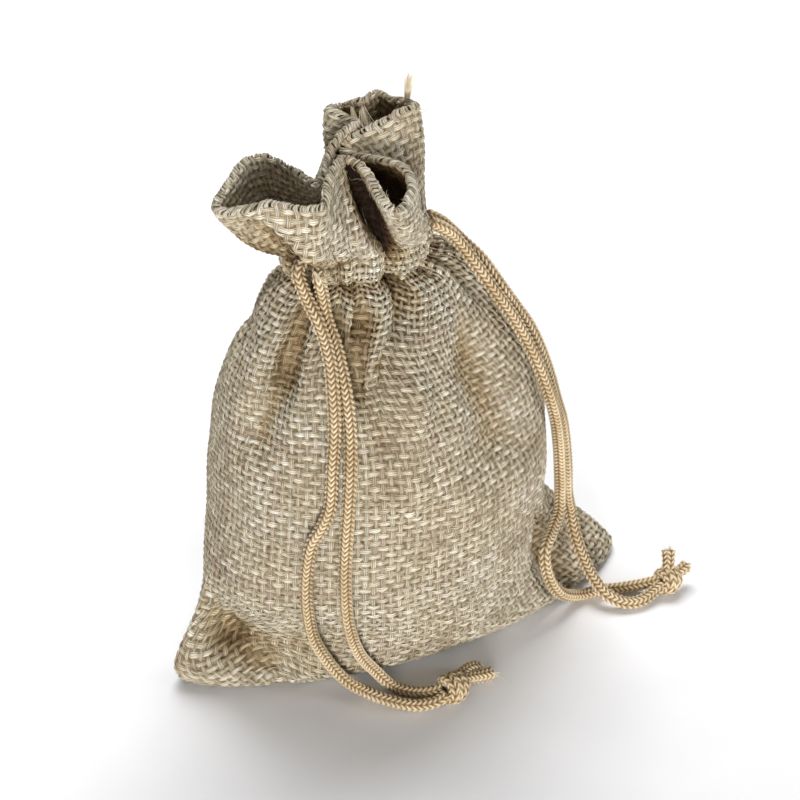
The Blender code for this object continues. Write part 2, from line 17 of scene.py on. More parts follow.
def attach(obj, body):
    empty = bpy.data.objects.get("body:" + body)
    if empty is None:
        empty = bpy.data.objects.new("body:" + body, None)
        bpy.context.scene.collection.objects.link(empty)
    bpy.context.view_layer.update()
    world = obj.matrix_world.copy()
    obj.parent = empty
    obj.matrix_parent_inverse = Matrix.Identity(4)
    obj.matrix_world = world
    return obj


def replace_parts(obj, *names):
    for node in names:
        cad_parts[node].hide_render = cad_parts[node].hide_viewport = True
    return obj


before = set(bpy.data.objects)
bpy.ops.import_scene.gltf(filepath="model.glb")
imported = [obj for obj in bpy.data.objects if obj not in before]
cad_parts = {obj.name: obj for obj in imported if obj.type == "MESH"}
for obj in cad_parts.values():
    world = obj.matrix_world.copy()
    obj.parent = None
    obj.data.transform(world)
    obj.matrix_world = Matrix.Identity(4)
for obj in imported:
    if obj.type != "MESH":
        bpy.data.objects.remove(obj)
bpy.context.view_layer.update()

MM = 0.001


def records(names, *rows):
    """The rows of a table, each by the names of its columns."""
    return [dict(zip(names.split(), row)) for row in rows]


# Cloth
FLAT_WIDTH = 90.0            # the empty sack laid flat
CLOTH_THICK = 1.0            # wall of the body
HEADING_THICK = 1.4          # turned-over double cloth at the rim
FLAP_HALF = 0.80             # half the distance between the two layers of a flat corner
HEADING_LENGTH = 20.0        # free cloth above the cords
HEADING_ROWS = 9
COLUMN_RUN = 0.55            # longest step between columns along the rim
COLUMN_TURN = 1.6            # longest step between columns round the neck, degrees
ROW_STEP = 0.9               # distance between the rows of the fine surface
CURVE_PARTS = 12             # steps of a smooth curve from one given point to the next
SHARE_RIGHT_SEAM = 0.5       # of the way round, from the left side seam along the front
BASE_HALF_WIDTH, BASE_HALF_DEPTH = 41.0, 10.6
FOLD_GROW = ((48.0, 1.3), (62.0, 1.0), (71.0, 0.7))    # level, size of the folds, times the solid's
GATHER_COUNT, GATHER_HEIGHT, GATHER_LEVEL = 34, 0.46, 76.0
DENT_HEIGHT = 0.22
FLOOR_GAP = 0.03

# Neck, where the cords gather the cloth
NECK_X, NECK_Y = -7.8, 0.6
NECK_HALF_WIDTH, NECK_HALF_DEPTH = 11.8, 7.6
NECK_TOP = 82.0
NECK_TILT = 0.12             # the gathers sit lower at the front than at the back
CORE_HALF_WIDTH, CORE_HALF_DEPTH = 3.6, 1.6      # the gap that the bunched cloth leaves
CORE_LEVELS = ((70.0, 0.0), (76.6, 1.0), (80.6, 1.0), (84.4, 0.0))  # level, share closed in

# Weave
WARPS = 118                  # upright yarns round the sack; even, so that the weave closes
WEFT_PITCH = 1.36
STEPS = 3                    # points along a yarn from one crossing to the next
WEFT_WIDE, WARP_WIDE = 0.84, 0.78
ARCH = ((-1.0, -0.15), (-0.6, 0.03), (0.0, 0.09), (0.6, 0.03), (1.0, -0.15))    # across a yarn
YARN_WAVE = 0.17             # how far a yarn rises and dips
YARN_LEVEL = -0.16           # of the yarns' middle, from the skin
YARN_SWAY, WIDTH_WANDER = 0.10, 0.26
WEAVE_MARGIN, INNER_MARGIN = 2.4, 0.4            # cloth past the wefts: in all, and inside
KIND_SEEDS = {"weft": 0.0, "warp": 0.37, "wrap": 0.71}
KIND_STRIPS = {"weft": (0.005, 0.46), "warp": (0.47, 0.92), "wrap": (0.93, 0.995)}
EVEN_ROUNDS = 80             # smoothing of the warps' spread from row to row
GOLDEN = 0.61803398875       # spreads the seeds of neighbouring yarns well apart
HEADING_END = 84.6           # level at which the woven inner face ends
TWIST_PLACE = (11.0, 8.6)    # middle of the slanting weave: from the left seam, up from the base
TWIST_DEGREES, TWIST_REACH = 46.0, 10.6

# Ground sheet under the yarns
GROUND_DEPTH, RIM_GROUND_DEPTH = 0.40, 0.27      # below the skin
RIM_GROUND_RISE = 4.0        # length over which it rises to the rim
GROUND_THIN = 0.3            # least distance of its inner face from the cloth's middle
GROUND_FINE = 68.0           # it keeps every row above this level, and every other one below
CHANNEL_LEVEL, CHANNEL_HALF, CHANNEL_SINK = 77.0, 6.0, 0.5   # it lies deeper at the cords

# Rolled rim, with short strands between the warps that wrap over it
RIM_HALF = 0.92              # half its thickness
RIM_TURNS = (30, 60, 90, 120, 150)
RIM_SLANT = 0.85             # how far a warp leans as it wraps over the rim
RIM_BARE = 0.75              # the rim's edge has no weft this near
WRAP_REACH, WRAP_HALF = 2.1, 1.1                 # of the wrapping, to each side of the rim

# How open the cloth lies, which its finish turns into painted shade, brown deep in the folds
CAVITY_REACH = 26.0          # how far another part of the cloth still shades a spot
CAVITY_RAYS, RAY_START = 40, 0.5
OPEN_ENOUGH = 0.86           # cloth at least this open is all the same, but for its relief
RELIEF = 0.14                # painted shade: how much less open a millimetre of hollow counts
RELIEF_LIMITS = (-0.12, 0.05)
RELIEF_ROUNDS = 70           # hollows and ridges are told from the cloth about 6 mm around
LOBE_EDGE, LOBE_FADE = -11.0, 3.0                # the left lobe lies left of its edge
LOBE_GLOW = 0.95             # painted light: its inside is kept this open, so it gets no painted shade, as if lit through the cloth
HEADING_LIGHT = 0.09         # painted light: how much more open the heading counts, thin as it is
# painted shade on the cloth near the floor: how much less open it counts there, and how high it
# reaches
FLOOR_SHADE, FLOOR_REACH = 0.04, 15.0
UNDERSIDE = 0.5              # painted shade: how much less open the left lobe counts where it faces down
# Parts of the heading that others shade, which get painted shade: neck angle, half width, from and
# to which level, and how much less open they count. They are the slit's inner wall and the left
# lobe's underside.
SHADED = ((281.5, 9.0, 78.0, 110.0, 0.33), (206.0, 28.0, 75.0, 97.0, 0.21))

# Knitted cords
CORD_THICK = 2.2
WALES = 4
STITCH = 0.92                # length of one knitted stitch
SIDE_STEPS = 8               # points across a wale
STITCH_STEPS = 6             # rings to a stitch
KNIT_DEPTH = 0.27
KNIT_SWELL = 1.1             # the legs stand out past the solid cord
LEG_SLANT = 0.85             # stitches that a leg runs on from its wale's middle to its side
KNOT_CORD = 1.05             # radius of the cord drawn tight in a knot
TAIL_FLARE, FLARE_FROM = 0.16, 0.6               # how much a tail widens, and from where on
# The part of a strand that crosses over a knot's turns, in half lengths of the knot
KNOT_BIGHT = ((-0.6, -0.2, -0.9), (0.2, -0.95, -0.65), (0.95, -0.85, 0.05), (1.1, -0.1, 0.75),
              (0.7, 0.7, 0.7), (0.1, 0.4, 0.0))

# Loose fibres; a rim thread's row has its route, its count and its spread
FIBRE_STEP = 0.35
STRAY_COUNT, TUFT_COUNT = 420, 40
STRAY_RADIUS, FLUFF_RADIUS, FRAY_RADIUS = 0.035, 0.075, 0.06
FRAY_SPREAD = 0.34
TUFT = ((4.2, 6.0, 98.6), (4.4, 6.1, 101.2), (4.9, 6.2, 104.9))
RIM_THREADS = (
    (((-2.6, 8.4, 99.9), (-3.4, 5.6, 98.8), (-3.6, 3.0, 97.2)), 18, 0.5),
    (((-4.4, 8.8, 100.0), (-5.2, 6.0, 98.6), (-5.6, 3.2, 98.4)), 12, 0.35),
    (((3.8, 3.2, 100.6), (5.4, 2.6, 99.9), (7.4, 2.0, 100.4)), 3, 0.25),
    (((-19.4, -6.8, 80.6), (-19.0, -8.0, 79.6), (-18.0, -8.8, 80.2)), 16, 0.4),
)
WHITE_THREAD = ((4.6, -25.3, 1.6), (6.2, -26.4, 0.9), (6.9, -28.2, 0.2))

# Painted shade, from 0 to 255: white in the open and brown deep in a fold
WHITE = (255, 255, 255)
PAINTED_FOLD_SHADE = ((0.20, (48, 32, 21)), (0.42, (80, 60, 42)), (0.54, (142, 121, 94)),
              (0.68, (207, 192, 167)), (0.78, (240, 230, 213)), (0.86, (251, 248, 242)),
              (0.90, WHITE))

# Camera: degrees to the side and up, distance and what it looks at
CAMERA_TURN, CAMERA_RISE = -28.0, 33.0
CAMERA_FAR = 500.0
CAMERA_AIM = (0.0, 0.0, 46.0)
CAMERA_LENS, CAMERA_SENSOR = 129.375, 36.0

# Lights: place along the view's right, away from it and up, width, all in metres, and watts
LIGHT_AIM = (0.0, 0.0, 0.04)
LIGHTS = (
    ("top_back", 0.02, 0.50, 0.80, 0.65, 8.3),
    ("top_left", -0.40, 0.50, 0.72, 0.60, 2.5),
    ("front", 0.00, -0.96, 0.11, 0.35, 10.2),
    ("front_left", -0.65, -0.72, 0.14, 0.35, 0.6),
    ("high_front", -0.15, -0.78, 0.50, 0.40, 1.1),
    ("right", 0.92, -0.15, 0.22, 0.40, 3.6),
)

# Stations round the rim of the heading, from the left side seam along the front to the right
# side seam and back behind: place of the rim, angle at the neck that the cloth there springs
# from, and how far the heading between the two bows out and leans sideways.
RIM = records(
    "name x y z neck_deg bow lean",
    ("left_tip", -34.8, -3.0, 94.8, 180, 1.6, 0.0),
    ("left_front_a", -33.9, -6.0, 94.9, 188, 1.8, 0.0),
    ("left_front_b", -32.1, -9.0, 97.0, 197, 2.0, 0.0),
    ("left_front_c", -29.3, -11.0, 98.2, 207, 2.4, 0.0),
    ("left_front_d", -25.5, -13.0, 96.9, 218, 3.0, 0.0),
    ("front_corner", -20.9, -13.0, 96.0, 230, 3.4, 0.0),
    ("front_band_a", -18.0, -9.0, 97.0, 243, 3.6, 0.0),
    ("front_band_b", -15.4, -6.2, 97.7, 256, 3.4, 0.5),
    ("slit_crest", -13.5, -4.6, 98.0, 267, 3.4, 1.5),
    ("slit_back", -12.2, -3.2, 97.8, 273, -1.3, -2.8),
    ("slit_top", -11.1, -4.3, 97.6, 281, -2.2, 0.0),
    ("fore_left_a", -10.8, -6.6, 97.9, 286, -1.0, 0.0),
    ("fore_left_b", -10.8, -10.0, 97.2, 290, 0.4, 0.0),
    ("fore_left_c", -11.5, -15.5, 96.3, 295, 0.8, 0.0),
    ("fore_tip", -10.6, -18.5, 95.5, 300, 1.5, 0.0),
    ("fore_right_a", -7.1, -16.0, 94.4, 305, 1.5, 0.0),
    ("fore_right_b", -4.2, -12.0, 94.9, 310, 1.5, 0.0),
    ("fore_right_c", -3.8, -7.5, 96.1, 315, 1.0, 0.0),
    ("fore_right_d", -6.5, -4.0, 96.6, 320, -1.0, 0.0),
    ("curl_a", -10.3, -2.0, 97.5, 325, -1.4, 0.0),
    ("curl_b", -10.7, -0.5, 98.4, 331, -1.0, 0.0),
    ("right_a", -8.0, 0.5, 99.1, 337, 0.0, 0.0),
    ("right_b", -4.0, 0.5, 100.1, 343, 0.5, 0.0),
    ("right_c", 0.5, 1.0, 101.3, 351, 1.0, 0.0),
    ("right_tip", 4.0, 2.5, 100.8, 360, 0.6, 0.0),
    ("back_a", 4.4, 6.0, 99.9, 376, 1.0, 0.0),
    ("back_b", 3.3, 9.0, 99.2, 392, 1.0, 0.0),
    ("back_c", 1.2, 10.7, 100.3, 404, 1.0, 0.0),
    ("back_d", -2.1, 9.2, 100.4, 414, 0.8, 0.0),
    ("back_e", -5.7, 10.0, 99.7, 426, 0.8, 0.0),
    ("back_left_tip", -9.5, 7.0, 101.4, 446, 1.0, 0.8),
    ("back_left_a", -7.5, 5.0, 100.5, 453, 0.0, 0.0),
    ("left_notch", -6.2, 3.0, 99.8, 462, -0.4, 0.0),
    ("left_band_a", -9.7, 1.5, 99.9, 470, 0.0, 0.0),
    ("left_band_b", -12.3, 0.0, 98.5, 477, 0.0, 0.0),
    ("left_band_c", -14.3, -2.0, 96.3, 484, -0.3, 0.0),
    ("left_root", -16.2, -4.0, 94.4, 491, -1.4, 0.0),
    ("left_back_a", -16.6, 0.0, 93.2, 499, 0.3, 0.0),
    ("left_back_b", -18.2, 4.0, 94.1, 507, 1.5, 0.0),
    ("left_back_c", -22.0, 5.0, 96.6, 516, 2.0, 0.0),
    ("left_back_d", -26.3, 4.0, 97.2, 526, 2.0, 0.0),
    ("left_back_e", -30.4, 1.0, 96.2, 534, 1.6, 0.0),
)

# Level sections of the body. crown and tip shape half the outline as (1 - |x|**crown)**tip:
# a low tip power gives an oval, a high one a flat corner flap. gather runs from 0, a filled
# section, to 1, the pleated neck.
SECTIONS = records(
    "z left right front back y crown tip gather",
    (0.9, -43.0, 44.6, 12.6, 12.4, 0.0, 2.4, 0.80, 0.0),
    (1.9, -43.9, 44.4, 14.4, 14.0, 0.0, 2.4, 0.90, 0.0),
    (4.0, -44.5, 43.0, 16.6, 16.2, 0.0, 2.4, 1.10, 0.0),
    (7.5, -43.3, 40.4, 18.6, 18.2, 0.0, 2.4, 1.55, 0.0),
    (11.5, -41.3, 36.6, 20.2, 19.9, 0.0, 2.4, 1.70, 0.0),
    (16.0, -39.1, 31.6, 21.4, 21.3, 0.0, 2.3, 1.15, 0.0),
    (21.0, -37.2, 27.8, 22.2, 22.4, 0.0, 2.2, 0.70, 0.0),
    (27.0, -35.8, 26.4, 22.8, 23.0, 0.0, 2.1, 0.56, 0.0),
    (34.0, -34.6, 26.0, 23.0, 23.2, 0.0, 2.0, 0.50, 0.0),
    (41.0, -34.2, 25.7, 22.6, 23.0, 0.0, 2.0, 0.50, 0.0),
    (48.0, -33.5, 24.7, 21.4, 22.0, 0.0, 2.0, 0.50, 0.0),
    (54.5, -32.3, 23.0, 19.6, 20.0, 0.2, 2.0, 0.50, 0.05),
    (60.5, -30.8, 20.2, 17.6, 17.2, 0.3, 2.0, 0.50, 0.15),
    (65.5, -28.8, 17.6, 15.4, 14.8, 0.4, 2.0, 0.50, 0.35),
    (70.0, -26.0, 14.4, 13.0, 12.4, 0.5, 2.0, 0.50, 0.65),
    (74.0, -23.0, 10.2, 9.8, 9.8, 0.6, 2.0, 0.50, 0.90),
)

# Rings of the gathered neck: height, growth of the outline and depth of the pleats.
NECK = records(
    "z grow pleat",
    (76.6, -0.2, 0.85),
    (77.9, 1.2, 0.7),
    (80.0, 1.5, 0.7),
    (NECK_TOP, 0.9, 0.8),
)

# Pleats that the cords press into the neck: angle round it, half width in degrees and depth.
PLEATS = records(
    "name neck_deg half_deg depth",
    ("left_pocket", 212, 8, 2.2),
    ("left_valley", 234, 7, 2.4),
    ("front_valley", 254, 6, 2.0),
    ("slit", 277, 7, 4.0),
    ("fore_right", 328, 8, 2.4),
    ("right_exit", 354, 7, 1.2),
    ("back_right", 384, 8, 2.0),
    ("back_mid_right", 410, 8, 2.2),
    ("back_mid_left", 438, 8, 1.9),
    ("back_left", 466, 8, 2.4),
    ("left_root", 495, 8, 2.8),
    ("left_back", 522, 8, 1.8),
)

# Folds pressed into the cloth along straight lines on it: the share of the way round and the
# level of both ends, half width, and height, outward from the cloth. Levels are heights on the
# body, and run on above NECK_TOP as cloth length up the heading.
FOLDS = records(
    "name share_a level_a share_b level_b half height",
    ("right_hollow_top", 0.315, 73.0, 0.338, 62.0, 6.5, -2.0),
    ("right_hollow", 0.338, 60.0, 0.335, 48.0, 9.0, -2.6),
    ("right_hollow_lip", 0.270, 41.0, 0.345, 38.0, 5.0, 0.9),
    ("front_ridge_top", 0.174, 74.5, 0.200, 67.0, 3.2, 1.2),
    ("front_ridge", 0.200, 67.0, 0.221, 59.0, 3.8, 1.7),
    ("front_ridge_end", 0.221, 59.0, 0.216, 45.0, 4.4, 1.8),
    ("slit_tail", 0.199, 75.0, 0.204, 69.0, 2.8, -1.4),
    ("cord_valley", 0.103, 73.5, 0.130, 69.5, 2.2, -1.6),
    ("cord_valley_end", 0.134, 68.5, 0.160, 62.0, 2.6, -1.2),
    ("thin_pleat", 0.122, 74.5, 0.141, 69.0, 1.6, 0.7),
    ("dark_valley", 0.143, 75.5, 0.157, 71.0, 2.2, -1.8),
    ("dark_valley_end", 0.157, 70.0, 0.170, 62.0, 3.0, -2.0),
    ("left_valley_top", 0.068, 70.5, 0.066, 64.0, 3.6, -1.8),
    ("left_valley", 0.066, 63.0, 0.050, 54.0, 4.4, -2.2),
    ("left_ridge", 0.044, 70.0, 0.034, 57.0, 3.2, 1.2),
    ("left_corner_crease", 0.006, 16.0, 0.040, 9.8, 3.0, -1.8),
    ("left_corner_crease_end", 0.040, 9.8, 0.090, 5.0, 2.6, -1.6),
    ("right_corner_crease", 0.412, 30.0, 0.428, 18.0, 3.6, -1.8),
    ("right_corner_crease_end", 0.428, 18.0, 0.405, 7.0, 3.4, -1.8),
    ("back_right_valley", 0.600, 72.0, 0.618, 50.0, 5.0, -2.0),
    ("back_right_ridge", 0.655, 72.0, 0.660, 50.0, 4.6, 1.4),
    ("back_mid_valley", 0.705, 71.0, 0.700, 46.0, 5.4, -2.4),
    ("back_left_ridge", 0.755, 71.0, 0.752, 52.0, 4.4, 1.2),
    ("back_left_valley", 0.810, 71.0, 0.798, 50.0, 5.0, -2.0),
    ("back_side_valley", 0.905, 70.0, 0.900, 56.0, 4.4, -1.8),
    ("left_back_notch", 0.955, 68.5, 0.985, 67.0, 2.2, -1.6),
    ("back_right_crease", 0.575, 26.0, 0.600, 7.0, 3.6, -1.8),
    ("back_left_crease", 0.925, 24.0, 0.895, 7.0, 3.6, -1.8),
    ("lobe_crease_tip", 0.046, 102.0, 0.072, 99.2, 2.0, 0.6),
    ("lobe_crease", 0.072, 99.2, 0.100, 93.0, 2.2, 1.2),
    ("lobe_crease_end", 0.100, 93.0, 0.112, 84.0, 2.4, 1.4),
    ("lobe_hollow_tip", 0.026, 97.0, 0.056, 94.0, 3.4, -1.0),
    ("lobe_hollow", 0.056, 94.0, 0.082, 87.0, 3.6, -1.6),
    ("band_ridge", 0.150, 98.0, 0.156, 87.0, 3.0, 0.8),
)

# Routes of the four strands, from where they leave the neck to their knots.
LEFT_OUTER = (
    (-21.4, -4.9, 79.8), (-20.9, -6.8, 76.2), (-20.4, -9.6, 73.4), (-20.0, -11.6, 70.0),
    (-20.3, -14.0, 66.8), (-21.0, -16.2, 62.6), (-21.6, -17.8, 56.6), (-22.8, -19.2, 50.6),
    (-23.8, -20.2, 44.0), (-25.3, -19.8, 39.6), (-26.8, -19.1, 36.4), (-27.6, -18.7, 31.0),
    (-27.7, -18.4, 24.0), (-26.2, -17.4, 15.6), (-23.2, -16.9, 8.8), (-20.2, -17.6, 4.0),
    (-17.4, -18.9, 1.6), (-14.9, -22.4, 1.15), (-11.4, -26.2, 1.15), (-7.9, -27.8, 1.6),
)
LEFT_INNER = (
    (-18.7, -7.2, 79.0), (-18.3, -7.4, 76.2), (-18.2, -8.6, 72.2), (-17.8, -10.6, 69.0),
    (-18.1, -13.3, 65.8), (-18.5, -16.0, 61.8), (-19.1, -18.5, 56.2), (-20.2, -20.6, 50.0),
    (-21.2, -21.7, 43.0), (-21.9, -22.0, 36.0), (-22.2, -22.0, 28.4), (-21.5, -21.5, 19.6),
    (-18.9, -20.1, 11.4), (-15.1, -18.8, 5.2), (-12.4, -20.0, 1.7), (-10.2, -22.6, 1.15),
    (-7.4, -25.3, 2.0),
)
RIGHT_FRONT = (
    (6.9, -2.9, 79.7), (8.9, -3.1, 77.6), (11.1, -4.8, 73.9), (13.3, -7.7, 69.5),
    (15.2, -8.9, 66.0), (17.0, -10.0, 62.6), (18.6, -11.3, 58.8), (20.2, -12.9, 54.0),
    (22.0, -13.6, 48.4), (24.2, -12.6, 41.8), (26.2, -10.6, 34.8), (27.8, -8.8, 27.4),
    (28.9, -7.3, 21.4), (28.6, -7.7, 17.6), (26.0, -9.8, 15.8), (22.2, -13.6, 14.6),
    (22.4, -14.8, 9.8), (25.2, -14.5, 4.9), (30.0, -12.9, 1.6), (34.4, -12.9, 1.15),
    (39.0, -14.3, 1.15), (43.1, -16.1, 1.9),
)
RIGHT_BACK = (
    (7.7, 0.3, 79.6), (9.6, 0.1, 77.6), (11.8, -0.7, 74.9), (13.9, -3.7, 72.2),
    (16.1, -6.7, 67.8), (18.2, -7.3, 64.2), (20.6, -8.2, 60.0), (22.4, -9.2, 55.4),
    (24.2, -9.6, 49.8), (26.1, -9.0, 43.8), (28.5, -7.9, 36.8), (30.5, -6.4, 27.4),
    (31.7, -5.2, 19.4), (32.8, -4.8, 14.8), (32.6, -7.2, 10.4), (33.2, -10.4, 5.8),
    (33.5, -13.0, 3.9), (34.2, -16.2, 2.4), (36.8, -18.6, 1.3), (40.0, -19.2, 1.2),
    (42.9, -18.5, 1.7),
)

# Knots: middle, half lengths along their cord, across and high, and turn in degrees.
KNOTS = records(
    "name x y z along across high turn",
    ("knot_left", -4.3, -26.8, 2.7, 3.0, 2.8, 2.68, 8.0),
    ("knot_right", 46.0, -17.5, 2.5, 2.75, 2.6, 2.48, 4.0),
)

# Tails of the knots, from inside the knot to the cut end.
LEFT_TAIL_FRONT = ((-3.0, -26.4, 2.9), (-0.8, -25.7, 2.7), (2.2, -25.3, 1.8), (4.9, -25.1, 1.3))
LEFT_TAIL_BACK = ((-3.4, -25.8, 3.0), (-0.6, -24.4, 3.0), (1.6, -23.3, 2.4), (3.5, -22.6, 1.4))
RIGHT_TAIL_UP = ((46.3, -17.2, 3.4), (46.9, -16.8, 4.8), (47.4, -16.0, 6.2), (47.7, -15.4, 7.4))
RIGHT_TAIL_OUT = ((46.6, -17.4, 2.8), (48.4, -17.3, 3.0), (49.8, -17.0, 3.2), (51.0, -16.7, 3.5))

# Frays: tail, count of fibres and their length.
FRAYS = ((LEFT_TAIL_FRONT, 16, 1.3), (LEFT_TAIL_BACK, 34, 1.8), (RIGHT_TAIL_UP, 16, 1.1),
         (RIGHT_TAIL_OUT, 20, 1.5))

# Strands: name, route, ends inside the channel and inside the knot, number of the knot that
# comes with the strand, and turn of its wales.
STRANDS = (
    ("cord_left_outer", LEFT_OUTER, (-20.0, -3.6, 81.2), (-5.6, -27.6, 2.4), (0,), 0.5),
    ("cord_left_inner", LEFT_INNER, (-17.8, -5.4, 80.4), (-5.4, -26.2, 2.8), (), 0.1),
    ("cord_right_front", RIGHT_FRONT, (4.6, -2.4, 81.2), (45.2, -17.0, 2.6), (1,), 0.2),
    ("cord_right_back", RIGHT_BACK, (5.4, 0.5, 81.2), (44.8, -18.0, 2.3), (), 0.3),
)


def column(table, name):
    """One named column of a table, as an array."""
    return np.array([row[name] for row in table])


def blend(before, start, end, after, t):
    """A point of the Catmull-Rom curve between start and end."""
    return 0.5 * (2 * start + (end - before) * t
                  + (2 * before - 5 * start + 4 * end - after) * t * t
                  + (3 * start - before - 3 * end + after) * t * t * t)


def closed_curve(points, counts):
    """A smooth closed curve through the points, in counts steps from each to the next."""
    size = len(points)
    out = []
    for index, count in enumerate(counts):
        picks = [points[(index + shift) % size] for shift in (-1, 0, 1, 2)]
        out.extend(blend(*picks, step / count) for step in range(count))
    return np.array(out)


def neighbours(points, index):
    """A stretch's two ends on an open line, with the points before and after them."""
    last = len(points) - 1
    return [points[min(max(index + shift, 0), last)] for shift in (-1, 0, 1, 2)]


def run_along(points):
    """The distance along a line up to each of its points."""
    spans = np.linalg.norm(np.diff(points, axis=0), axis=1)
    return np.concatenate([[0.0], np.cumsum(spans)])


def open_curve(points, step):
    """A smooth open curve through the points, cut into nearly equal steps."""
    points = np.asarray(points, dtype=float)
    fine = [blend(*neighbours(points, index), part / CURVE_PARTS)
            for index in range(len(points) - 1) for part in range(CURVE_PARTS)]
    fine = np.array([*fine, points[-1]])
    run = run_along(fine)
    even = np.linspace(0, run[-1], max(2, round(run[-1] / step) + 1))
    return np.column_stack([np.interp(even, run, fine[:, axis]) for axis in range(3)])


def rim_curve():
    """Rim points, neck angles, bows, leans and shares of the way round, for every column."""
    place = np.stack([column(RIM, axis) for axis in "xyz"], axis=1)
    angles = np.append(column(RIM, "neck_deg"), 180 + 360)
    bows, leans = (np.append(column(RIM, name), RIM[0][name]) for name in ("bow", "lean"))
    chords = np.linalg.norm(np.roll(place, -1, axis=0) - place, axis=1)
    counts = np.maximum(np.rint(chords / COLUMN_RUN), np.rint(np.diff(angles) / COLUMN_TURN))
    counts = np.maximum(counts, 1).astype(int)
    rim = closed_curve(place, counts)
    steps = np.concatenate([index + np.arange(count) / count
                            for index, count in enumerate(counts)])
    stations = np.arange(len(RIM) + 1)
    split = counts[:list(column(RIM, "name")).index("right_tip")].sum()
    spans = np.linalg.norm(np.roll(rim, -1, axis=0) - rim, axis=1)
    front, back = ((np.cumsum(part) - part) / part.sum() * 0.5
                   for part in (spans[:split], spans[split:]))
    share = np.concatenate([front, SHARE_RIGHT_SEAM + back])
    angles, bows, leans = (np.interp(steps, stations, values)
                           for values in (angles, bows, leans))
    return rim, angles, bows, leans, share


def half_outline(half_width, depth, crown, tip, dense=400):
    """One side of a level section from its left end to its right, with the run along it."""
    across = -np.cos(np.linspace(0.0, math.pi, dense))
    bulge = depth * np.clip(1 - np.abs(across) ** crown, 0, None) ** tip
    flap = FLAP_HALF * np.clip(1 - np.abs(across) ** 30, 0, None) ** 0.5
    outline = np.stack([half_width * across, bulge + flap], axis=1)
    run = run_along(outline)
    return run / run[-1], outline


def section_ring(values, share):
    """The outline of one filled section at every share of the way round."""
    half_width = (values["right"] - values["left"]) / 2
    middle = (values["right"] + values["left"]) / 2
    front = share < SHARE_RIGHT_SEAM
    ring = np.zeros((len(share), 3))
    ring[:, 2] = values["z"]
    for chosen, along, depth in ((front, share * 2, -values["front"]),
                                 (~front, 2 - share * 2, values["back"])):
        run, outline = half_outline(half_width, abs(depth), values["crown"], values["tip"])
        side = math.copysign(1.0, depth)
        ring[chosen, 0] = middle + np.interp(along[chosen], run, outline[:, 0])
        ring[chosen, 1] = values["y"] + side * np.interp(along[chosen], run, outline[:, 1])
    return ring


def neck_ring(z, grow, pleat, angles):
    """One ring of the gathered neck."""
    turn = np.radians(angles)
    squeeze = np.zeros(len(angles))
    for values in PLEATS:
        away = (angles - values["neck_deg"] + 180) % 360 - 180
        squeeze += values["depth"] * pleat * np.exp(-(away / values["half_deg"]) ** 2)
    ring = np.zeros((len(angles), 3))
    ring[:, 0] = NECK_X + (NECK_HALF_WIDTH + grow - squeeze) * np.cos(turn)
    ring[:, 1] = NECK_Y + (NECK_HALF_DEPTH + grow - squeeze) * np.sin(turn)
    ring[:, 2] = z + NECK_TILT * (ring[:, 1] - NECK_Y)
    return ring


def gathered_ring(values, share, angles):
    """A section of the shoulder, part filled outline and part pleated neck."""
    filled = section_ring(values, share)
    if not values["gather"]:
        return filled
    pleated = neck_ring(values["z"], 0.0, 1.0, angles)
    widen = (values["right"] - values["left"]) / 2 / NECK_HALF_WIDTH
    middle = (values["right"] + values["left"]) / 2
    pleated[:, 0] = middle + (pleated[:, 0] - NECK_X) * widen
    pleated[:, 1] = values["y"] + (pleated[:, 1] - NECK_Y) * widen
    return filled * (1 - values["gather"]) + pleated * values["gather"]


def outward(rows):
    """The cloth's outward direction at every point of its rows."""
    along = np.roll(rows, -1, axis=1) - np.roll(rows, 1, axis=1)
    up = np.gradient(rows, axis=0)
    facing = np.cross(along, up)
    return facing / np.linalg.norm(facing, axis=2)[:, :, None]


def press_folds(rows, share, levels, grow):
    """Move the cloth along its facing by every fold of the table."""
    around = share[None, :] * 2 * FLAT_WIDTH
    moved = np.zeros(rows.shape[:2])
    for values in FOLDS:
        start = np.array([values["share_a"] * 2 * FLAT_WIDTH, values["level_a"]])
        line = np.array([values["share_b"] * 2 * FLAT_WIDTH, values["level_b"]]) - start
        away = np.stack(np.broadcast_arrays(around - start[0], levels[:, None] - start[1]))
        along = np.clip((away[0] * line[0] + away[1] * line[1]) / (line @ line), 0, 1)
        gap = np.hypot(away[0] - along * line[0], away[1] - along * line[1])
        moved += grow * values["height"] * np.exp(-(gap / values["half"]) ** 2)
    moved[levels <= SECTIONS[0]["z"]] = 0.0
    return rows + outward(rows) * moved[:, :, None]


def base_ring(edge):
    """The flat that the sack stands on, an even oval inside its edge."""
    turn = np.arctan2(edge[:, 1] / BASE_HALF_DEPTH, edge[:, 0] / BASE_HALF_WIDTH)
    return np.column_stack([BASE_HALF_WIDTH * np.cos(turn), BASE_HALF_DEPTH * np.sin(turn),
                            np.full(len(edge), CLOTH_THICK / 2)])


def smooth_rows(rows, levels):
    """More rows, on smooth curves through the given ones, and their levels."""
    fine, fine_levels = [], []
    for index in range(len(rows) - 1):
        picks = neighbours(rows, index)
        span = np.linalg.norm(rows[index + 1] - rows[index], axis=1).mean()
        count = max(1, round(span / ROW_STEP))
        for part in range(count):
            fine.append(blend(*picks, part / count))
            fine_levels.append(levels[index] + (levels[index + 1] - levels[index]) * part / count)
    return np.array([*fine, rows[-1]]), np.array([*fine_levels, levels[-1]])


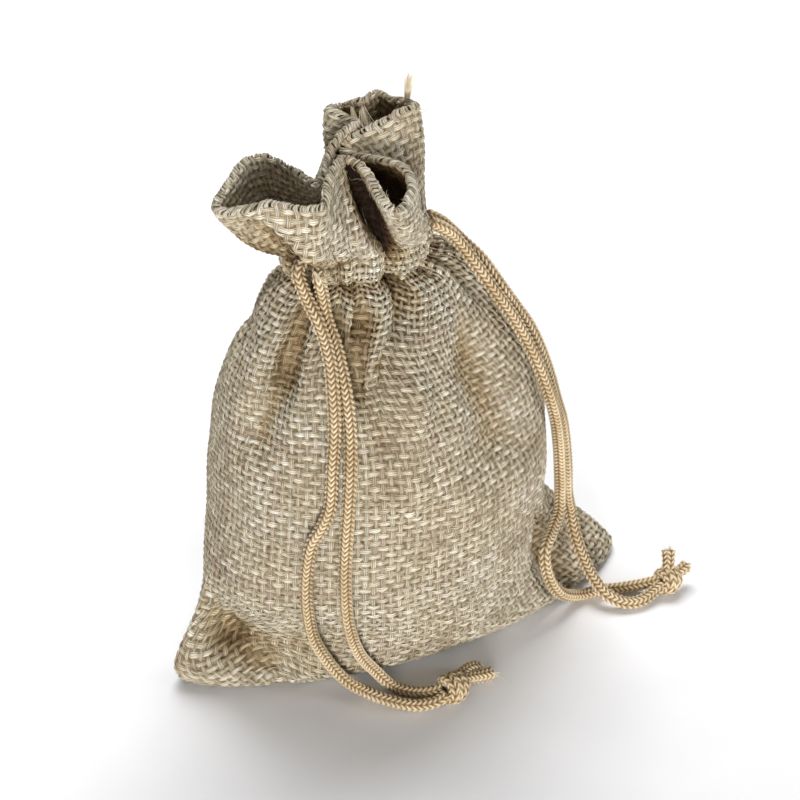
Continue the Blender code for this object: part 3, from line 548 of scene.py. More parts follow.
def crumple(rows, share, levels):
    """Fine gathers at the neck and slight dents all over."""
    turn = 2 * math.pi * share[None, :]
    level = levels[:, None]
    phase = GATHER_COUNT * turn + 1.3 * np.sin(7 * turn + 0.4) + 0.9 * np.sin(11 * turn + 2.0)
    fade = np.exp(-((level - GATHER_LEVEL) / np.where(level > GATHER_LEVEL, 7.0, 5.0)) ** 2)
    moved = GATHER_HEIGHT * fade * np.sin(phase + 0.05 * level)
    dents = (np.sin(5 * turn + 0.11 * level + 0.5) * np.sin(0.19 * level + 2 * turn)
             + 0.7 * np.sin(9 * turn - 0.17 * level + 1.7) * np.sin(0.27 * level + 1.1)
             + 0.5 * np.sin(14 * turn + 0.31 * level + 2.9))
    moved = moved + DENT_HEIGHT * dents * np.clip(levels / 12, 0, 1)[:, None]
    return rows + outward(rows) * moved[:, :, None]


def cloth_middle():
    """The middle of the cloth in fine rows, its levels, the columns' shares and neck angles."""
    rim, angles, bows, leans, share = rim_curve()
    rows = [gathered_ring(values, share, angles) for values in SECTIONS]
    levels = list(column(SECTIONS, "z"))
    rows.insert(0, base_ring(rows[0]))
    levels.insert(0, 0.0)
    for values in NECK:
        rows.append(neck_ring(values["z"], values["grow"], values["pleat"], angles))
        levels.append(values["z"])
    root = rows[-1]
    out = rim[:, :2] - np.array([NECK_X, NECK_Y])
    out /= np.linalg.norm(out, axis=1)[:, None]
    aside = np.column_stack([-out[:, 1], out[:, 0]])
    bow = np.column_stack([out * 0.8 * bows[:, None] + aside * 0.8 * leans[:, None], -0.6 * bows])
    control = (root + rim) / 2 + 2 * bow
    for step in range(1, HEADING_ROWS + 1):
        t = step / HEADING_ROWS
        rows.append(root * (1 - t) ** 2 + control * 2 * t * (1 - t) + rim * t * t)
        levels.append(NECK_TOP + HEADING_LENGTH * t)
    fine, levels = smooth_rows(np.array(rows), levels)
    fine = press_folds(fine, share, levels, np.interp(levels, *zip(*FOLD_GROW))[:, None])
    return crumple(fine, share, levels), levels, share, angles


def unit(vectors):
    """The vectors, a millimetre long."""
    return vectors / np.maximum(np.linalg.norm(vectors, axis=-1), 1e-9)[..., None]


def half_thick(levels):
    """Half the cloth's thickness at each level."""
    return np.interp(levels, (SECTIONS[-1]["z"], NECK_TOP, NECK_TOP + HEADING_LENGTH),
                     (CLOTH_THICK / 2, HEADING_THICK / 2, RIM_HALF))


def facings(rows):
    """The outward direction at every point, evened out round the rows."""
    facing = outward(rows)
    for _ in range(3):
        facing = (np.roll(facing, 1, axis=1) + 2 * facing + np.roll(facing, -1, axis=1)) / 4
    return facing


def skin(rows, levels):
    """Points and directions of the skin from the base up, over the rim and down inside."""
    facing = facings(rows)
    half = half_thick(levels)[:, None, None]
    points = [*(rows + facing * half)]
    directions = [*unit(facing)]
    upward = unit(rows[-1] - rows[-2])
    for turn in RIM_TURNS:
        way = (unit(facing[-1]) * math.cos(math.radians(turn))
               + upward * math.sin(math.radians(turn)))
        points.append(rows[-1] + way * half[-1])
        directions.append(way)
    inside = levels >= HEADING_END
    points.extend((rows - facing * half)[inside][::-1])
    directions.extend(-unit(facing)[inside][::-1])
    return np.array(points), np.array(directions)


def sample(field, row, place):
    """The field between its rows and columns; the columns run round."""
    low = np.clip(np.floor(row).astype(int), 0, len(field) - 2)
    rise = np.clip(row - low, 0, 1)
    left = np.floor(place).astype(int)
    run = place - left
    if field.ndim == 3:
        rise, run = rise[..., None], run[..., None]
    left, right = left % field.shape[1], (left + 1) % field.shape[1]
    return ((field[low, left] * (1 - run) + field[low, right] * run) * (1 - rise)
            + (field[low + 1, left] * (1 - run) + field[low + 1, right] * run) * rise)


def even_columns(points, share, steps=720):
    """For each row, the column that lies each share of the way round, warps evenly spread."""
    seam = int(np.searchsorted(share, SHARE_RIGHT_SEAM))
    spans = np.linalg.norm(np.roll(points, -1, axis=1) - points, axis=2)
    front, back = spans[:, :seam], spans[:, seam:]
    halves = [(np.cumsum(part, axis=1) - part) / part.sum(axis=1)[:, None] / 2
              for part in (front, back)]
    even = np.concatenate([halves[0], halves[1] + 0.5], axis=1)
    for _ in range(EVEN_ROUNDS):
        even[1:-1] = (even[:-2] + 2 * even[1:-1] + even[2:]) / 4
    even = np.column_stack([even, np.ones(len(even))])
    stops = np.arange(even.shape[1])
    return np.array([np.interp(np.linspace(0, 1, steps + 1), line, stops) for line in even])


def column_at(columns, row, around):
    """The column at each row and share of the way round."""
    return sample(columns, row, (around % 1.0) * (columns.shape[1] - 1))


def twist_corner(around, length):
    """Turn the weave of the left bottom corner, where the cloth is folded aslant."""
    across = around * 2 * FLAT_WIDTH - TWIST_PLACE[0]
    up = length - TWIST_PLACE[1]
    near = np.exp(-((across ** 2 + up ** 2) / TWIST_REACH ** 2) ** 1.5)
    turn = math.radians(TWIST_DEGREES) * near
    return ((TWIST_PLACE[0] + across * np.cos(turn) - up * np.sin(turn)) / (2 * FLAT_WIDTH),
            TWIST_PLACE[1] + across * np.sin(turn) + up * np.cos(turn))


def wander(seeds, along, scale):
    """Smooth noise along each yarn, about -1 to 1, the same for the same seed."""
    noise = np.zeros((len(seeds), len(along)))
    for turn, weight in ((1.0, 0.5), (2.3, 0.35), (5.1, 0.25), (9.7, 0.2)):
        shift = (seeds * 97.13 * turn) % (2 * math.pi)
        noise += weight * np.sin(along[None, :] * turn / scale + shift[:, None])
    return noise


def mesh_object(name, points, faces, finish, vectors=(), uv=None):
    """A new smooth mesh from points in millimetres, with named vectors at its points."""
    mesh = bpy.data.meshes.new(name)
    mesh.from_pydata((points * MM).tolist(), [], faces.tolist())
    mesh.validate()
    mesh.shade_smooth()
    for title, values in vectors:
        layer = mesh.attributes.new(title, "FLOAT_VECTOR", "POINT")
        layer.data.foreach_set("vector", np.asarray(values, dtype=np.float32).ravel())
    if uv is not None:
        layer = mesh.uv_layers.new(name="OFBake")
        loops = np.zeros(len(mesh.loops), dtype=np.int32)
        mesh.loops.foreach_get("vertex_index", loops)
        layer.data.foreach_set("uv", np.asarray(uv, dtype=np.float32)[loops].ravel())
    mesh.materials.append(finish)
    made = bpy.data.objects.new(name, mesh)
    bpy.context.scene.collection.objects.link(made)
    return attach(made, "root")


def grid_index(shape):
    """The numbers of a grid's points, row by row."""
    return np.arange(shape[0] * shape[1]).reshape(shape[:2])


def ring_quads(index):
    """Quads between rings of points; each ring closes on itself."""
    ahead = np.roll(index, -1, axis=1)
    return np.stack([index[:-1], ahead[:-1], ahead[1:], index[1:]], axis=-1).reshape(-1, 4)


def relief(points, directions):
    """How far each point stands out from the cloth around it, or lies back, less than 0."""
    smooth = points.copy()
    for _ in range(RELIEF_ROUNDS):
        smooth = (np.roll(smooth, 2, axis=1) + 2 * smooth + np.roll(smooth, -2, axis=1)) / 4
        smooth[1:-1] = (smooth[:-2] + 2 * smooth[1:-1] + smooth[2:]) / 4
    return ((points - smooth) * unit(directions)).sum(axis=-1)


def ray_fan():
    """Directions spread over the half sphere around +Z."""
    turn = np.random.default_rng(4).uniform(0, 2 * math.pi, CAVITY_RAYS)
    high = np.sqrt((np.arange(CAVITY_RAYS) + 0.5) / CAVITY_RAYS)
    wide = np.sqrt(1 - high ** 2)
    return np.column_stack([np.cos(turn) * wide, np.sin(turn) * wide, high])


def ray_share(rows, points, directions):
    """The share of rays from each point that pass the rest of the cloth by."""
    coarse = rows[:, ::2]
    tree = BVHTree.FromPolygons(coarse.reshape(-1, 3).tolist(),
                                ring_quads(grid_index(coarse.shape)).tolist())
    rays = ray_fan()
    share = np.zeros(points.shape[:2])
    for spot in np.ndindex(share.shape):
        way = directions[spot]
        side = np.cross(way, (0.36, 0.48, 0.8))
        side /= np.linalg.norm(side)
        over = np.cross(way, side)
        start = Vector(points[spot] + way * RAY_START)
        for ray in rays:
            aim = side * ray[0] + over * ray[1] + way * ray[2]
            gap = tree.ray_cast(start, Vector(aim), CAVITY_REACH)[3]
            share[spot] += 1.0 if gap is None else min(gap / CAVITY_REACH, 1) ** 0.5
    return share / CAVITY_RAYS


def left_lobe(points):
    """1 in the left lobe and the cloth below it, fading to 0 towards the lobe's edge."""
    return np.clip((LOBE_EDGE - points[..., 0]) / LOBE_FADE, 0, 1)


def cavity(rows, points, directions, levels, angles):
    """How open the cloth lies at each point, from 0 in a deep fold to 1 in the open, with painted
    shade and painted light worked in; the finishes turn it into painted shade.
    """
    spots, ways = points[::2, ::2], directions[::2, ::2]
    share = ray_share(rows, spots, ways)
    # painted shade where the left lobe faces down
    under = left_lobe(spots) * np.clip((spots[..., 2] - CHANNEL_LEVEL) / LOBE_FADE, 0, 1)
    share *= 1 - UNDERSIDE * under * np.clip(-ways[..., 2], 0, 1)
    share = np.minimum(share, OPEN_ENOUGH)
    # painted shade in hollows, and a little painted light on ridges
    share += np.clip(RELIEF * relief(points, directions)[::2, ::2], *RELIEF_LIMITS)
    openness = sample(share, *(np.indices(points.shape[:2]) / 2))
    outer = openness[:len(levels)]
    # painted light on the heading
    outer += HEADING_LIGHT * np.clip((levels - NECK_TOP) / 5, 0, 1)[:, None]
    # painted shade on the slit's inner wall and the left lobe's underside
    for angle, half, start, end, shade in SHADED:
        reach = np.clip((levels - start) / 5, 0, 1) * np.clip((end - levels) / 5, 0, 1)
        spread = np.exp(-((angles - angle) / half) ** 2)
        outer -= shade * spread[None, :] * reach[:, None]
    # painted shade near the floor
    openness -= FLOOR_SHADE * np.exp(-(points[..., 2] / FLOOR_REACH) ** 2)
    # painted light: the left lobe's inside gets no painted shade
    inside = left_lobe(points)
    inside[:len(levels)] = 0.0
    return np.maximum(openness, LOBE_GLOW * inside)


def yarn_runs(kind, wefts, first, rim):
    """A kind's start up the cloth, its yarns' numbers and the points along them, in crossings."""
    if kind == "weft":
        number = np.arange(wefts)
        number = number[np.abs(first + number * WEFT_PITCH - rim) > RIM_BARE]
        return first, number, np.arange(WARPS * STEPS + 1) / STEPS
    if kind == "warp":
        return first, np.arange(WARPS), np.arange((wefts - 1) * STEPS + 1) / STEPS
    return (rim - WRAP_REACH, np.arange(WARPS) + 0.5,
            np.linspace(0, 2 * WRAP_REACH / WEFT_PITCH, 4 * STEPS + 1))


def stacked(*fields):
    """Fields of numbers as one list of vectors."""
    return np.stack(np.broadcast_arrays(*fields), axis=-1).reshape(-1, len(fields))


def strip_faces(yarns, along, across):
    """Quads of a stack of ribbons whose points are ordered by yarn, run and side."""
    index = np.arange(yarns * along * across).reshape(yarns, along, across)
    low, high = index[:, :-1], index[:, 1:]
    return np.stack([low[..., :-1], high[..., :-1], high[..., 1:], low[..., 1:]],
                    axis=-1).reshape(-1, 4)


def weave(points, directions, columns, openness, rim_row):
    """All yarns as ribbons: sets of points, quads and facts for the finish, and where they lie."""
    spans = np.linalg.norm(np.diff(points, axis=0), axis=2).mean(axis=1)
    lengths = np.concatenate([[0.0], np.cumsum(spans)])
    wefts = int((lengths[-1] - WEAVE_MARGIN) / WEFT_PITCH)
    first = lengths[-1] - wefts * WEFT_PITCH - INNER_MARGIN
    side, arch = np.array(ARCH).T
    rim = lengths[rim_row]
    out = []
    for kind, (left, right) in KIND_STRIPS.items():
        start, number, runs = yarn_runs(kind, wefts, first, rim)
        seeds = (number * GOLDEN + KIND_SEEDS[kind]) % 1.0
        up = start + runs * WEFT_PITCH
        wrap = np.exp(-((up - rim) / WRAP_HALF) ** 2)
        lift = YARN_WAVE * np.cos(math.pi * (runs[None, :] + number[:, None]))
        if kind == "weft":
            # a whole number of turns, so that a weft's noise has no seam
            pitch, scale, wide, upright = 2 * FLAT_WIDTH / WARPS, 2.0, WEFT_WIDE, 0.0
            along = 2 * math.pi * runs / WARPS * 40
        else:
            pitch, scale, wide, upright = WEFT_PITCH, 9.0, WARP_WIDE, 1 - 0.8 * wrap
            along = runs * pitch
            lift = -lift
        sway = YARN_SWAY * wander(seeds, np.round(along, 6), scale)
        half = wide / 2 * (1 + WIDTH_WANDER * wander(seeds + 0.5, np.round(along, 6), scale * 0.5))
        if kind == "wrap":
            # it dips under the wefts at both ends, and some are thinner than others
            lift = np.broadcast_to(-0.06 - 0.3 * np.abs(2 * runs / runs[-1] - 1) ** 3, lift.shape)
            half = half * (0.40 + 0.3 * seeds[:, None])
        if kind != "weft":
            # over the rim the warps lie side by side, each at its own height and width
            lift = lift * (1 - wrap) + (0.02 + 0.28 * seeds[:, None]) * wrap
            half = half * (1 + (0.40 * seeds[:, None] - 0.16) * wrap)
        cross = side * half[:, :, None]
        if kind == "weft":
            around = np.broadcast_to(runs[None, :, None] / WARPS, cross.shape)
            length = first + number[:, None, None] * WEFT_PITCH + sway[:, :, None] + cross
        else:
            slant = RIM_SLANT * wrap * (up - rim) * (0.5 + seeds[:, None])
            around = ((number[:, None, None] + sway[:, :, None] / pitch) / WARPS
                      + (cross + slant[:, :, None]) / (2 * FLAT_WIDTH))
            length = np.broadcast_to(up[None, :, None], cross.shape)
        around, length = twist_corner(around, length)
        row = np.interp(length, lengths, np.arange(len(lengths)))
        place = column_at(columns, row, around)
        height = YARN_LEVEL + lift[:, :, None] + arch
        spots = sample(points, row, place) + sample(directions, row, place) * height[..., None]
        spots[..., 2] = np.maximum(spots[..., 2], FLOOR_GAP)
        facts = stacked(side, (runs * pitch)[:, None], seeds[:, None, None])
        # the last fact of place is how open the cloth lies, by which the finish paints shade
        more = stacked((lift / YARN_WAVE)[:, :, None], np.reshape(upright, (-1, 1)),
                       sample(openness, row, place))
        # each yarn has its own strip of the bake map, and each kind its own part of the width
        strip = (np.arange(len(number))[:, None, None] + 0.5 + 0.4 * side) / len(number)
        chart = stacked(left + (right - left) * runs[:, None] / runs[-1], strip)
        out.append(([spots.reshape(-1, 3), strip_faces(*spots.shape[:3]), facts, more, chart],
                    around.ravel() % 1.0, length.ravel()))
    return out, lengths


def cut_piece(part, chosen):
    """The chosen quads of a set of yarns, with only the points that they use."""
    spots, quads, *facts = part
    used, again = np.unique(quads[chosen], return_inverse=True)
    return [spots[used], again.reshape(-1, 4), *(values[used] for values in facts)]


def joined(parts):
    """Several sets of points, quads and facts as one."""
    shifts = np.cumsum([0] + [len(part[0]) for part in parts[:-1]])
    spots, _, *facts = zip(*parts)
    quads = np.concatenate([part[1] + shift for part, shift in zip(parts, shifts)])
    return [np.concatenate(spots), quads, *(np.concatenate(values) for values in facts)]


def woven_pieces(points, directions, columns, levels, openness, finish):
    """The yarns in three pieces: the front and the back of the body, and the heading."""
    rim_row = len(levels) + len(RIM_TURNS) // 2
    sets, lengths = weave(points, directions, columns, openness, rim_row)
    neck = np.interp(NECK_TOP, levels, lengths[:len(levels)])
    pieces = {"weave_front": [], "weave_back": [], "weave_heading": []}
    for part, around, length in sets:
        corner = part[1][:, 0]
        heading, front = length[corner] > neck, around[corner] < SHARE_RIGHT_SEAM
        for name, chosen in (("weave_front", ~heading & front), ("weave_back", ~heading & ~front),
                             ("weave_heading", heading)):
            pieces[name].append(cut_piece(part, chosen))
    made = []
    for name, parts in pieces.items():
        spots, quads, facts, more, chart = joined(parts)
        made.append(mesh_object(name, spots, quads, finish,
                                (("yarn", facts), ("place", more)), chart))
    return made


def close_ends(made, ends):
    """Shut a tube's open rings."""
    shape = bmesh.new()
    shape.from_mesh(made.data)
    shape.verts.ensure_lookup_table()
    for ring in ends:
        shape.faces.new([shape.verts[int(place)] for place in ring])
    bmesh.ops.recalc_face_normals(shape, faces=shape.faces)
    shape.to_mesh(made.data)
    shape.free()


def ground_sheet(rows, levels, angles, openness, finish):
    """The closed sheet under the yarns, drawn in on itself at the neck."""
    facing = facings(rows)[:, ::2]
    rows = rows[:, ::2]
    turn = np.radians(angles[::2])
    gathered = np.exp(-((levels - CHANNEL_LEVEL) / CHANNEL_HALF) ** 2)
    depth = np.interp(levels, (levels[-1] - RIM_GROUND_RISE, levels[-1]),
                      (GROUND_DEPTH, RIM_GROUND_DEPTH))
    rise = half_thick(levels) - depth - CHANNEL_SINK * gathered
    outer = rows + facing * rise[:, None, None]
    inside = np.maximum(half_thick(levels) - GROUND_DEPTH, GROUND_THIN)
    inner = rows - facing * inside[:, None, None]
    core = rows.copy()
    core[:, :, 0] = NECK_X + CORE_HALF_WIDTH * np.cos(turn)
    core[:, :, 1] = NECK_Y + CORE_HALF_DEPTH * np.sin(turn)
    closed = np.interp(levels, *zip(*CORE_LEVELS))[:, None, None]
    inner = inner * (1 - closed) + core * closed
    picks = sorted({*range(0, len(rows), 2), *np.flatnonzero(levels > GROUND_FINE), len(rows) - 1})
    grid = np.concatenate([outer[picks], inner[picks[::-1]]])
    below = 2 * len(levels) + len(RIM_TURNS) - 1 - np.array(picks[::-1])
    below = np.clip(below, 0, len(openness) - 1)
    shade = np.concatenate([openness[picks][:, ::2], openness[below][:, ::2]])
    grid[0, :, 2] = FLOOR_GAP
    grid[..., 2] = np.maximum(grid[..., 2], FLOOR_GAP)
    index = grid_index(grid.shape)
    made = mesh_object("cloth_ground", grid.reshape(-1, 3), ring_quads(index), finish,
                       (("place", stacked(shade, shade, shade)),))
    close_ends(made, (index[0][::-1], index[-1]))
    return made


def frames(points):
    """Two cross directions at every point of a path that turn with it and do not spin."""
    ahead = unit(np.gradient(points, axis=0))
    side = np.cross(ahead[0], (0.31, 0.87, 0.38))
    side /= np.linalg.norm(side)
    sides = []
    for way in ahead:
        side = side - way * (side @ way)
        side /= np.linalg.norm(side)
        sides.append(side)
    sides = np.array(sides)
    return sides, np.cross(ahead, sides)


def rings(points, size, turn):
    """Rings of points around a path, with a size and an angle for each point of a ring."""
    sides, overs = frames(points)
    return (points[:, None, :] + sides[:, None, :] * (size * np.cos(turn))[..., None]
            + overs[:, None, :] * (size * np.sin(turn))[..., None])


def knit_tube(path, radius, turned=0.0, flare=0.0, seed=0.0):
    """A knitted cord along a path: points and rings with raised legs of stitches in wales."""
    points = open_curve(path, STITCH / STITCH_STEPS)
    count = WALES * SIDE_STEPS
    turn = 2 * math.pi * np.arange(count) / count
    run = np.arange(len(points)) * STITCH / STITCH_STEPS
    leg = (np.arange(count) % SIDE_STEPS) / SIDE_STEPS * 2 - 1
    reach = np.abs(leg)
    stitch = run[:, None] / STITCH + LEG_SLANT * reach[None, :] + seed
    ridge = 0.5 + 0.5 * np.cos(2 * math.pi * stitch)
    # low between the wales, and a little in the middle of each, where its two legs meet
    groove = (1 - 0.9 * reach ** 3) * (1 - 0.35 * np.exp(-(reach / 0.15) ** 2))
    lift = ridge ** 1.1 * groove[None, :]
    size = radius * KNIT_SWELL * (1 - KNIT_DEPTH + KNIT_DEPTH * 1.12 * lift)
    size = size * (1 + flare * np.clip(run / run[-1] - FLARE_FROM, 0, 1) ** 0.5)[:, None]
    spots = rings(points, size, turn + turned)
    spots[..., 2] = np.maximum(spots[..., 2], FLOOR_GAP)
    index = grid_index(size.shape)
    facts = stacked(lift, run[:, None], leg)
    chart = stacked(run[:, None] / run[-1] * 0.98 + 0.01, turn / turn[-1] * 0.98 + 0.01)
    return points, [spots.reshape(-1, 3), ring_quads(index), facts, chart], (index[0][::-1],
                                                                             index[-1])


def strand(name, route, start, end, turned, finish):
    """One strand of drawcord, from inside the channel to inside its knot."""
    points, (spots, quads, facts, chart), ends = knit_tube((start, *route, end), CORD_THICK / 2,
                                                           turned, seed=len(name) * 0.7)
    made = mesh_object(name, spots, quads, finish, (("knit", facts),), chart)
    close_ends(made, ends)
    return made


def knot_size(values):
    """Half lengths of a knot, to the middle of its cord."""
    return np.array([values["along"], values["across"], values["high"]]) - KNOT_CORD


def knot_turns(values):
    """The two turns that both strands make round themselves, from inside the knot and back."""
    turn = np.radians(np.arange(-150, 625, 22.5))
    part = (turn - turn[0]) / (turn[-1] - turn[0])
    size = knot_size(values)
    wide = 0.35 + 0.65 * np.clip(np.minimum(part, 1 - part) / 0.12, 0, 1) ** 0.7
    along = -size[0] * 0.62 + size[0] * 1.3 * part + 0.3 * np.sin(turn + 0.9)
    return np.column_stack([along, -size[1] * wide * np.cos(turn), size[2] * wide * np.sin(turn)])


def placed(spots, values):
    """Points of a knot, turned and moved to where the knot lies."""
    lean = math.radians(values["turn"])
    spin = np.array([[math.cos(lean), math.sin(lean), 0.0],
                     [-math.sin(lean), math.cos(lean), 0.0], [0.0, 0.0, 1.0]])
    return spots @ spin + np.array([values["x"], values["y"], values["z"]])


def knot_piece(values, tails, finish):
    """A knot and its cut tails as one piece."""
    bight = np.array(KNOT_BIGHT) * knot_size(values)
    tubes = [knit_tube(placed(knot_turns(values), values), KNOT_CORD, seed=0.3),
             knit_tube(placed(bight, values), KNOT_CORD, seed=0.8),
             *(knit_tube(tail, CORD_THICK / 2, flare=TAIL_FLARE, seed=0.9 + number)
               for number, tail in enumerate(tails))]
    parts, ends, shift = [], [], 0
    for number, (_, (spots, quads, facts, chart), rims) in enumerate(tubes):
        parts.append((spots, quads, facts, (chart + (0, number)) / (1, len(tubes))))
        ends += [ring + shift for ring in rims]
        shift += len(spots)
    spots, quads, facts, chart = joined(parts)
    made = mesh_object(values["name"] + "_tied", spots, quads, finish,
                       (("knit", facts),), chart)
    close_ends(made, ends)
    return made


def fibres(name, routes, radius, finish):
    """Loose fibres as one piece: three-sided, and tapered to their ends."""
    parts = []
    for route in routes:
        points = open_curve(route, FIBRE_STEP)
        taper = radius * (1 - 0.75 * np.linspace(0, 1, len(points)) ** 2)
        spots = rings(points, taper[:, None], 2 * math.pi * np.arange(3) / 3)
        parts.append((spots.reshape(-1, 3), ring_quads(grid_index(spots.shape))))
    spots, quads = joined(parts)
    spots[:, 2] = np.maximum(spots[:, 2], FLOOR_GAP)
    return mesh_object(name, spots, quads, finish)


def stray_fibres(points, directions, columns, count, dice):
    """Short fibres that stand off the cloth here and there."""
    routes = []
    for _ in range(count):
        row = dice.uniform(6, len(points) - 12)
        around = dice.uniform(0, 1)
        heading = dice.uniform(0, 2 * math.pi)
        reach = dice.uniform(0.8, 2.6)
        bend = dice.uniform(-1.2, 1.2)
        route = []
        for part in (0.0, 0.3, 0.65, 1.0):
            turn = heading + bend * part
            line = np.array([row + reach * part * math.sin(turn)])
            place = column_at(columns, line,
                              around + reach * part * math.cos(turn) / (2 * FLAT_WIDTH))
            high = dice.uniform(0.35, 0.8) * part ** 0.7 - 0.1
            route.append(sample(points, line, place)[0] + sample(directions, line, place)[0] * high)
        routes.append(route)
    return routes


def frayed(tail, count, length, dice):
    """A fan of fibres from the cut end of a cord."""
    way = np.subtract(tail[-1], tail[-2])
    way /= np.linalg.norm(way)
    routes = []
    for _ in range(count):
        lean = dice.normal(0, FRAY_SPREAD, 3)
        start = np.array(tail[-1]) + dice.normal(0, 0.35, 3)
        aim = way + lean
        aim /= np.linalg.norm(aim)
        reach = length * dice.uniform(0.5, 1.1)
        droop = np.array([0, 0, -0.12 * reach])
        routes.append([start - aim * 0.5, start + aim * reach * 0.5, start + aim * reach + droop])
    return routes


def fluff(dice):
    """The tuft and the threads that hang out of the rim."""
    routes = []
    for _ in range(TUFT_COUNT):
        side, over = dice.normal(0, 1, 2)
        shifts = ((0.3 * side, 0.3 * over, 0), (0.24 * side, 0.24 * over, 0),
                  (0.55 * side, 0.45 * over, dice.uniform(-0.5, 0.4)))
        routes.append(np.array(TUFT) + shifts)
    for route, count, spread in RIM_THREADS:
        for _ in range(count):
            shift = dice.normal(0, spread, 3)
            routes.append([np.array(spot) + shift * (0.4 + 0.6 * place)
                           for place, spot in enumerate(route)])
    return routes


class Finish:
    """A material whose nodes are added and joined by short calls."""

    def __init__(self, name):
        self.material = bpy.data.materials.new(name)
        self.material.use_nodes = True
        self.tree = self.material.node_tree
        self.shader = self.tree.nodes["Principled BSDF"]

    def put(self, socket, value):
        """Link or set one input."""
        if isinstance(value, bpy.types.NodeSocket):
            self.tree.links.new(value, socket)
        else:
            socket.default_value = value

    def node(self, kind, output, inputs, **settings):
        """Add a node, fill its inputs and hand back one of its outputs."""
        node = self.tree.nodes.new("ShaderNode" + kind)
        for title, value in settings.items():
            setattr(node, title, value)
        for title, value in inputs.items():
            self.put(node.inputs[title], value)
        return node.outputs[output]

    def math(self, operation, *values):
        return self.node("Math", 0, dict(enumerate(values)), operation=operation)

    def times(self, value, factor):
        return self.math("MULTIPLY", value, factor)

    def attribute(self, name):
        """The three numbers that the mesh holds under a name."""
        vector = self.node("Attribute", "Vector", {}, attribute_name=name)
        return self.node("SeparateXYZ", 0, {0: vector}).node.outputs

    def place(self):
        return self.node("TexCoord", "Object", {})

    def noise(self, vector, scale, detail=2.0, rough=0.5):
        """Noise over a place or over a vector of three numbers."""
        if isinstance(vector, tuple):
            vector = self.node("CombineXYZ", 0, dict(enumerate(vector)))
        return self.node("TexNoise", "Fac", {"Vector": vector, "Scale": scale, "Detail": detail,
                                             "Roughness": rough})

    def spread(self, value, low, high, to_low=0.0, to_high=1.0):
        """A range of numbers stretched to another, and cut off past its ends."""
        return self.node("MapRange", "Result", {"Value": value, "From Min": low, "From Max": high,
                                                "To Min": to_low, "To Max": to_high})

    def ramp(self, value, *stops):
        """Colours from 0 to 255 by a number from 0 to 1."""
        colour = self.node("ValToRGB", "Color", {"Fac": value})
        elements = colour.node.color_ramp.elements
        while len(elements) < len(stops):
            elements.new(0.5)
        for element, (spot, part) in zip(elements, stops):
            element.position = spot
            element.color = linear(part)
        return colour

    def mix(self, factor, first, second, kind="MIX"):
        return self.node("Mix", 2, {0: factor, 6: first, 7: second}, data_type="RGBA",
                         blend_type=kind)

    def stain(self, colour, factor, value, *stops):
        """The colour, darkened as strongly as the factor says by a ramp over a value."""
        return self.mix(factor, colour, self.ramp(value, *stops), "MULTIPLY")

    def done(self, colour, rough, height, strength, distance, sheen=0.0, shine=0.25):
        """Join colour, roughness and a bump to the shader."""
        normal = self.node("Bump", "Normal", {"Height": height, "Strength": strength,
                                              "Distance": distance})
        for title, value in (("Base Color", colour), ("Roughness", rough), ("Normal", normal),
                             ("Sheen Weight", sheen), ("Specular IOR Level", shine)):
            self.put(self.shader.inputs[title], value)
        return self.material


def linear(colour):
    """A colour given from 0 to 255, as linear numbers."""
    shares = [part / 255 for part in colour]
    return (*(part / 12.92 if part <= 0.04045 else ((part + 0.055) / 1.055) ** 2.4
              for part in shares), 1.0)


def yarn_finish():
    """Yarns of three strands of fibre, creamy across and greyer upright, with painted shade, brown
    in the folds.
    """
    look = Finish("burlap_yarn")
    across, run, seed = look.attribute("yarn")
    lift, upright, openness = look.attribute("place")
    drift = look.noise((look.times(seed, 37.0), look.times(run, 0.5), 0.0), 1.0, 1.0)
    strand_wave = look.math("COSINE", look.math("MULTIPLY_ADD", across, 8.6,
                                                look.times(drift, 7.0)))
    strands = look.spread(strand_wave, -1.0, 1.0)
    fibre = look.noise((look.math("MULTIPLY_ADD", across, 2.4, look.times(seed, 61.0)),
                        look.times(run, 0.3), look.times(seed, 17.0)), 2.6, 3.0, 0.7)
    slub = look.noise((look.times(seed, 90.0), look.times(run, 0.42), upright), 1.0, 2.0)
    blotch = look.noise(look.place(), 70.0, 3.0)
    weft = look.ramp(slub, (0.28, (174, 166, 146)), (0.42, (213, 208, 190)),
                     (0.56, (240, 238, 225)), (0.70, (252, 252, 247)))
    warp = look.ramp(slub, (0.30, (168, 163, 148)), (0.5, (203, 199, 185)),
                     (0.70, (235, 232, 220)))
    colour = look.mix(upright, weft, warp)
    odd = look.times(look.spread(seed, 0.88, 0.92), 0.45)
    colour = look.mix(odd, colour, linear((192, 172, 166)))
    colour = look.stain(colour, 0.75, fibre, (0.34, (160, 149, 130)), (0.48, (230, 226, 218)),
                        (0.58, WHITE))
    # painted shade in the grooves between a yarn's strands
    colour = look.stain(colour, 0.7, strands, (0.0, (132, 114, 90)), (0.35, (214, 204, 188)),
                        (0.7, WHITE))
    # painted shade where a yarn dips under the yarns that cross it
    colour = look.stain(colour, 0.55, look.spread(lift, -1.0, 1.0), (0.0, (150, 130, 102)),
                        (0.4, (214, 203, 182)), (0.8, WHITE))
    colour = look.stain(colour, 0.6, blotch, (0.34, (224, 212, 194)), (0.5, (246, 241, 232)),
                        (0.64, WHITE))
    # painted shade, brown deep in the folds
    colour = look.stain(colour, 1.0, openness, *PAINTED_FOLD_SHADE)
    height = look.math("MULTIPLY_ADD", fibre, 0.6, strands)
    return look.done(colour, look.spread(fibre, 0.3, 0.7, 0.85, 0.65), height, 0.5, 0.0001,
                     sheen=0.02, shine=0.12)


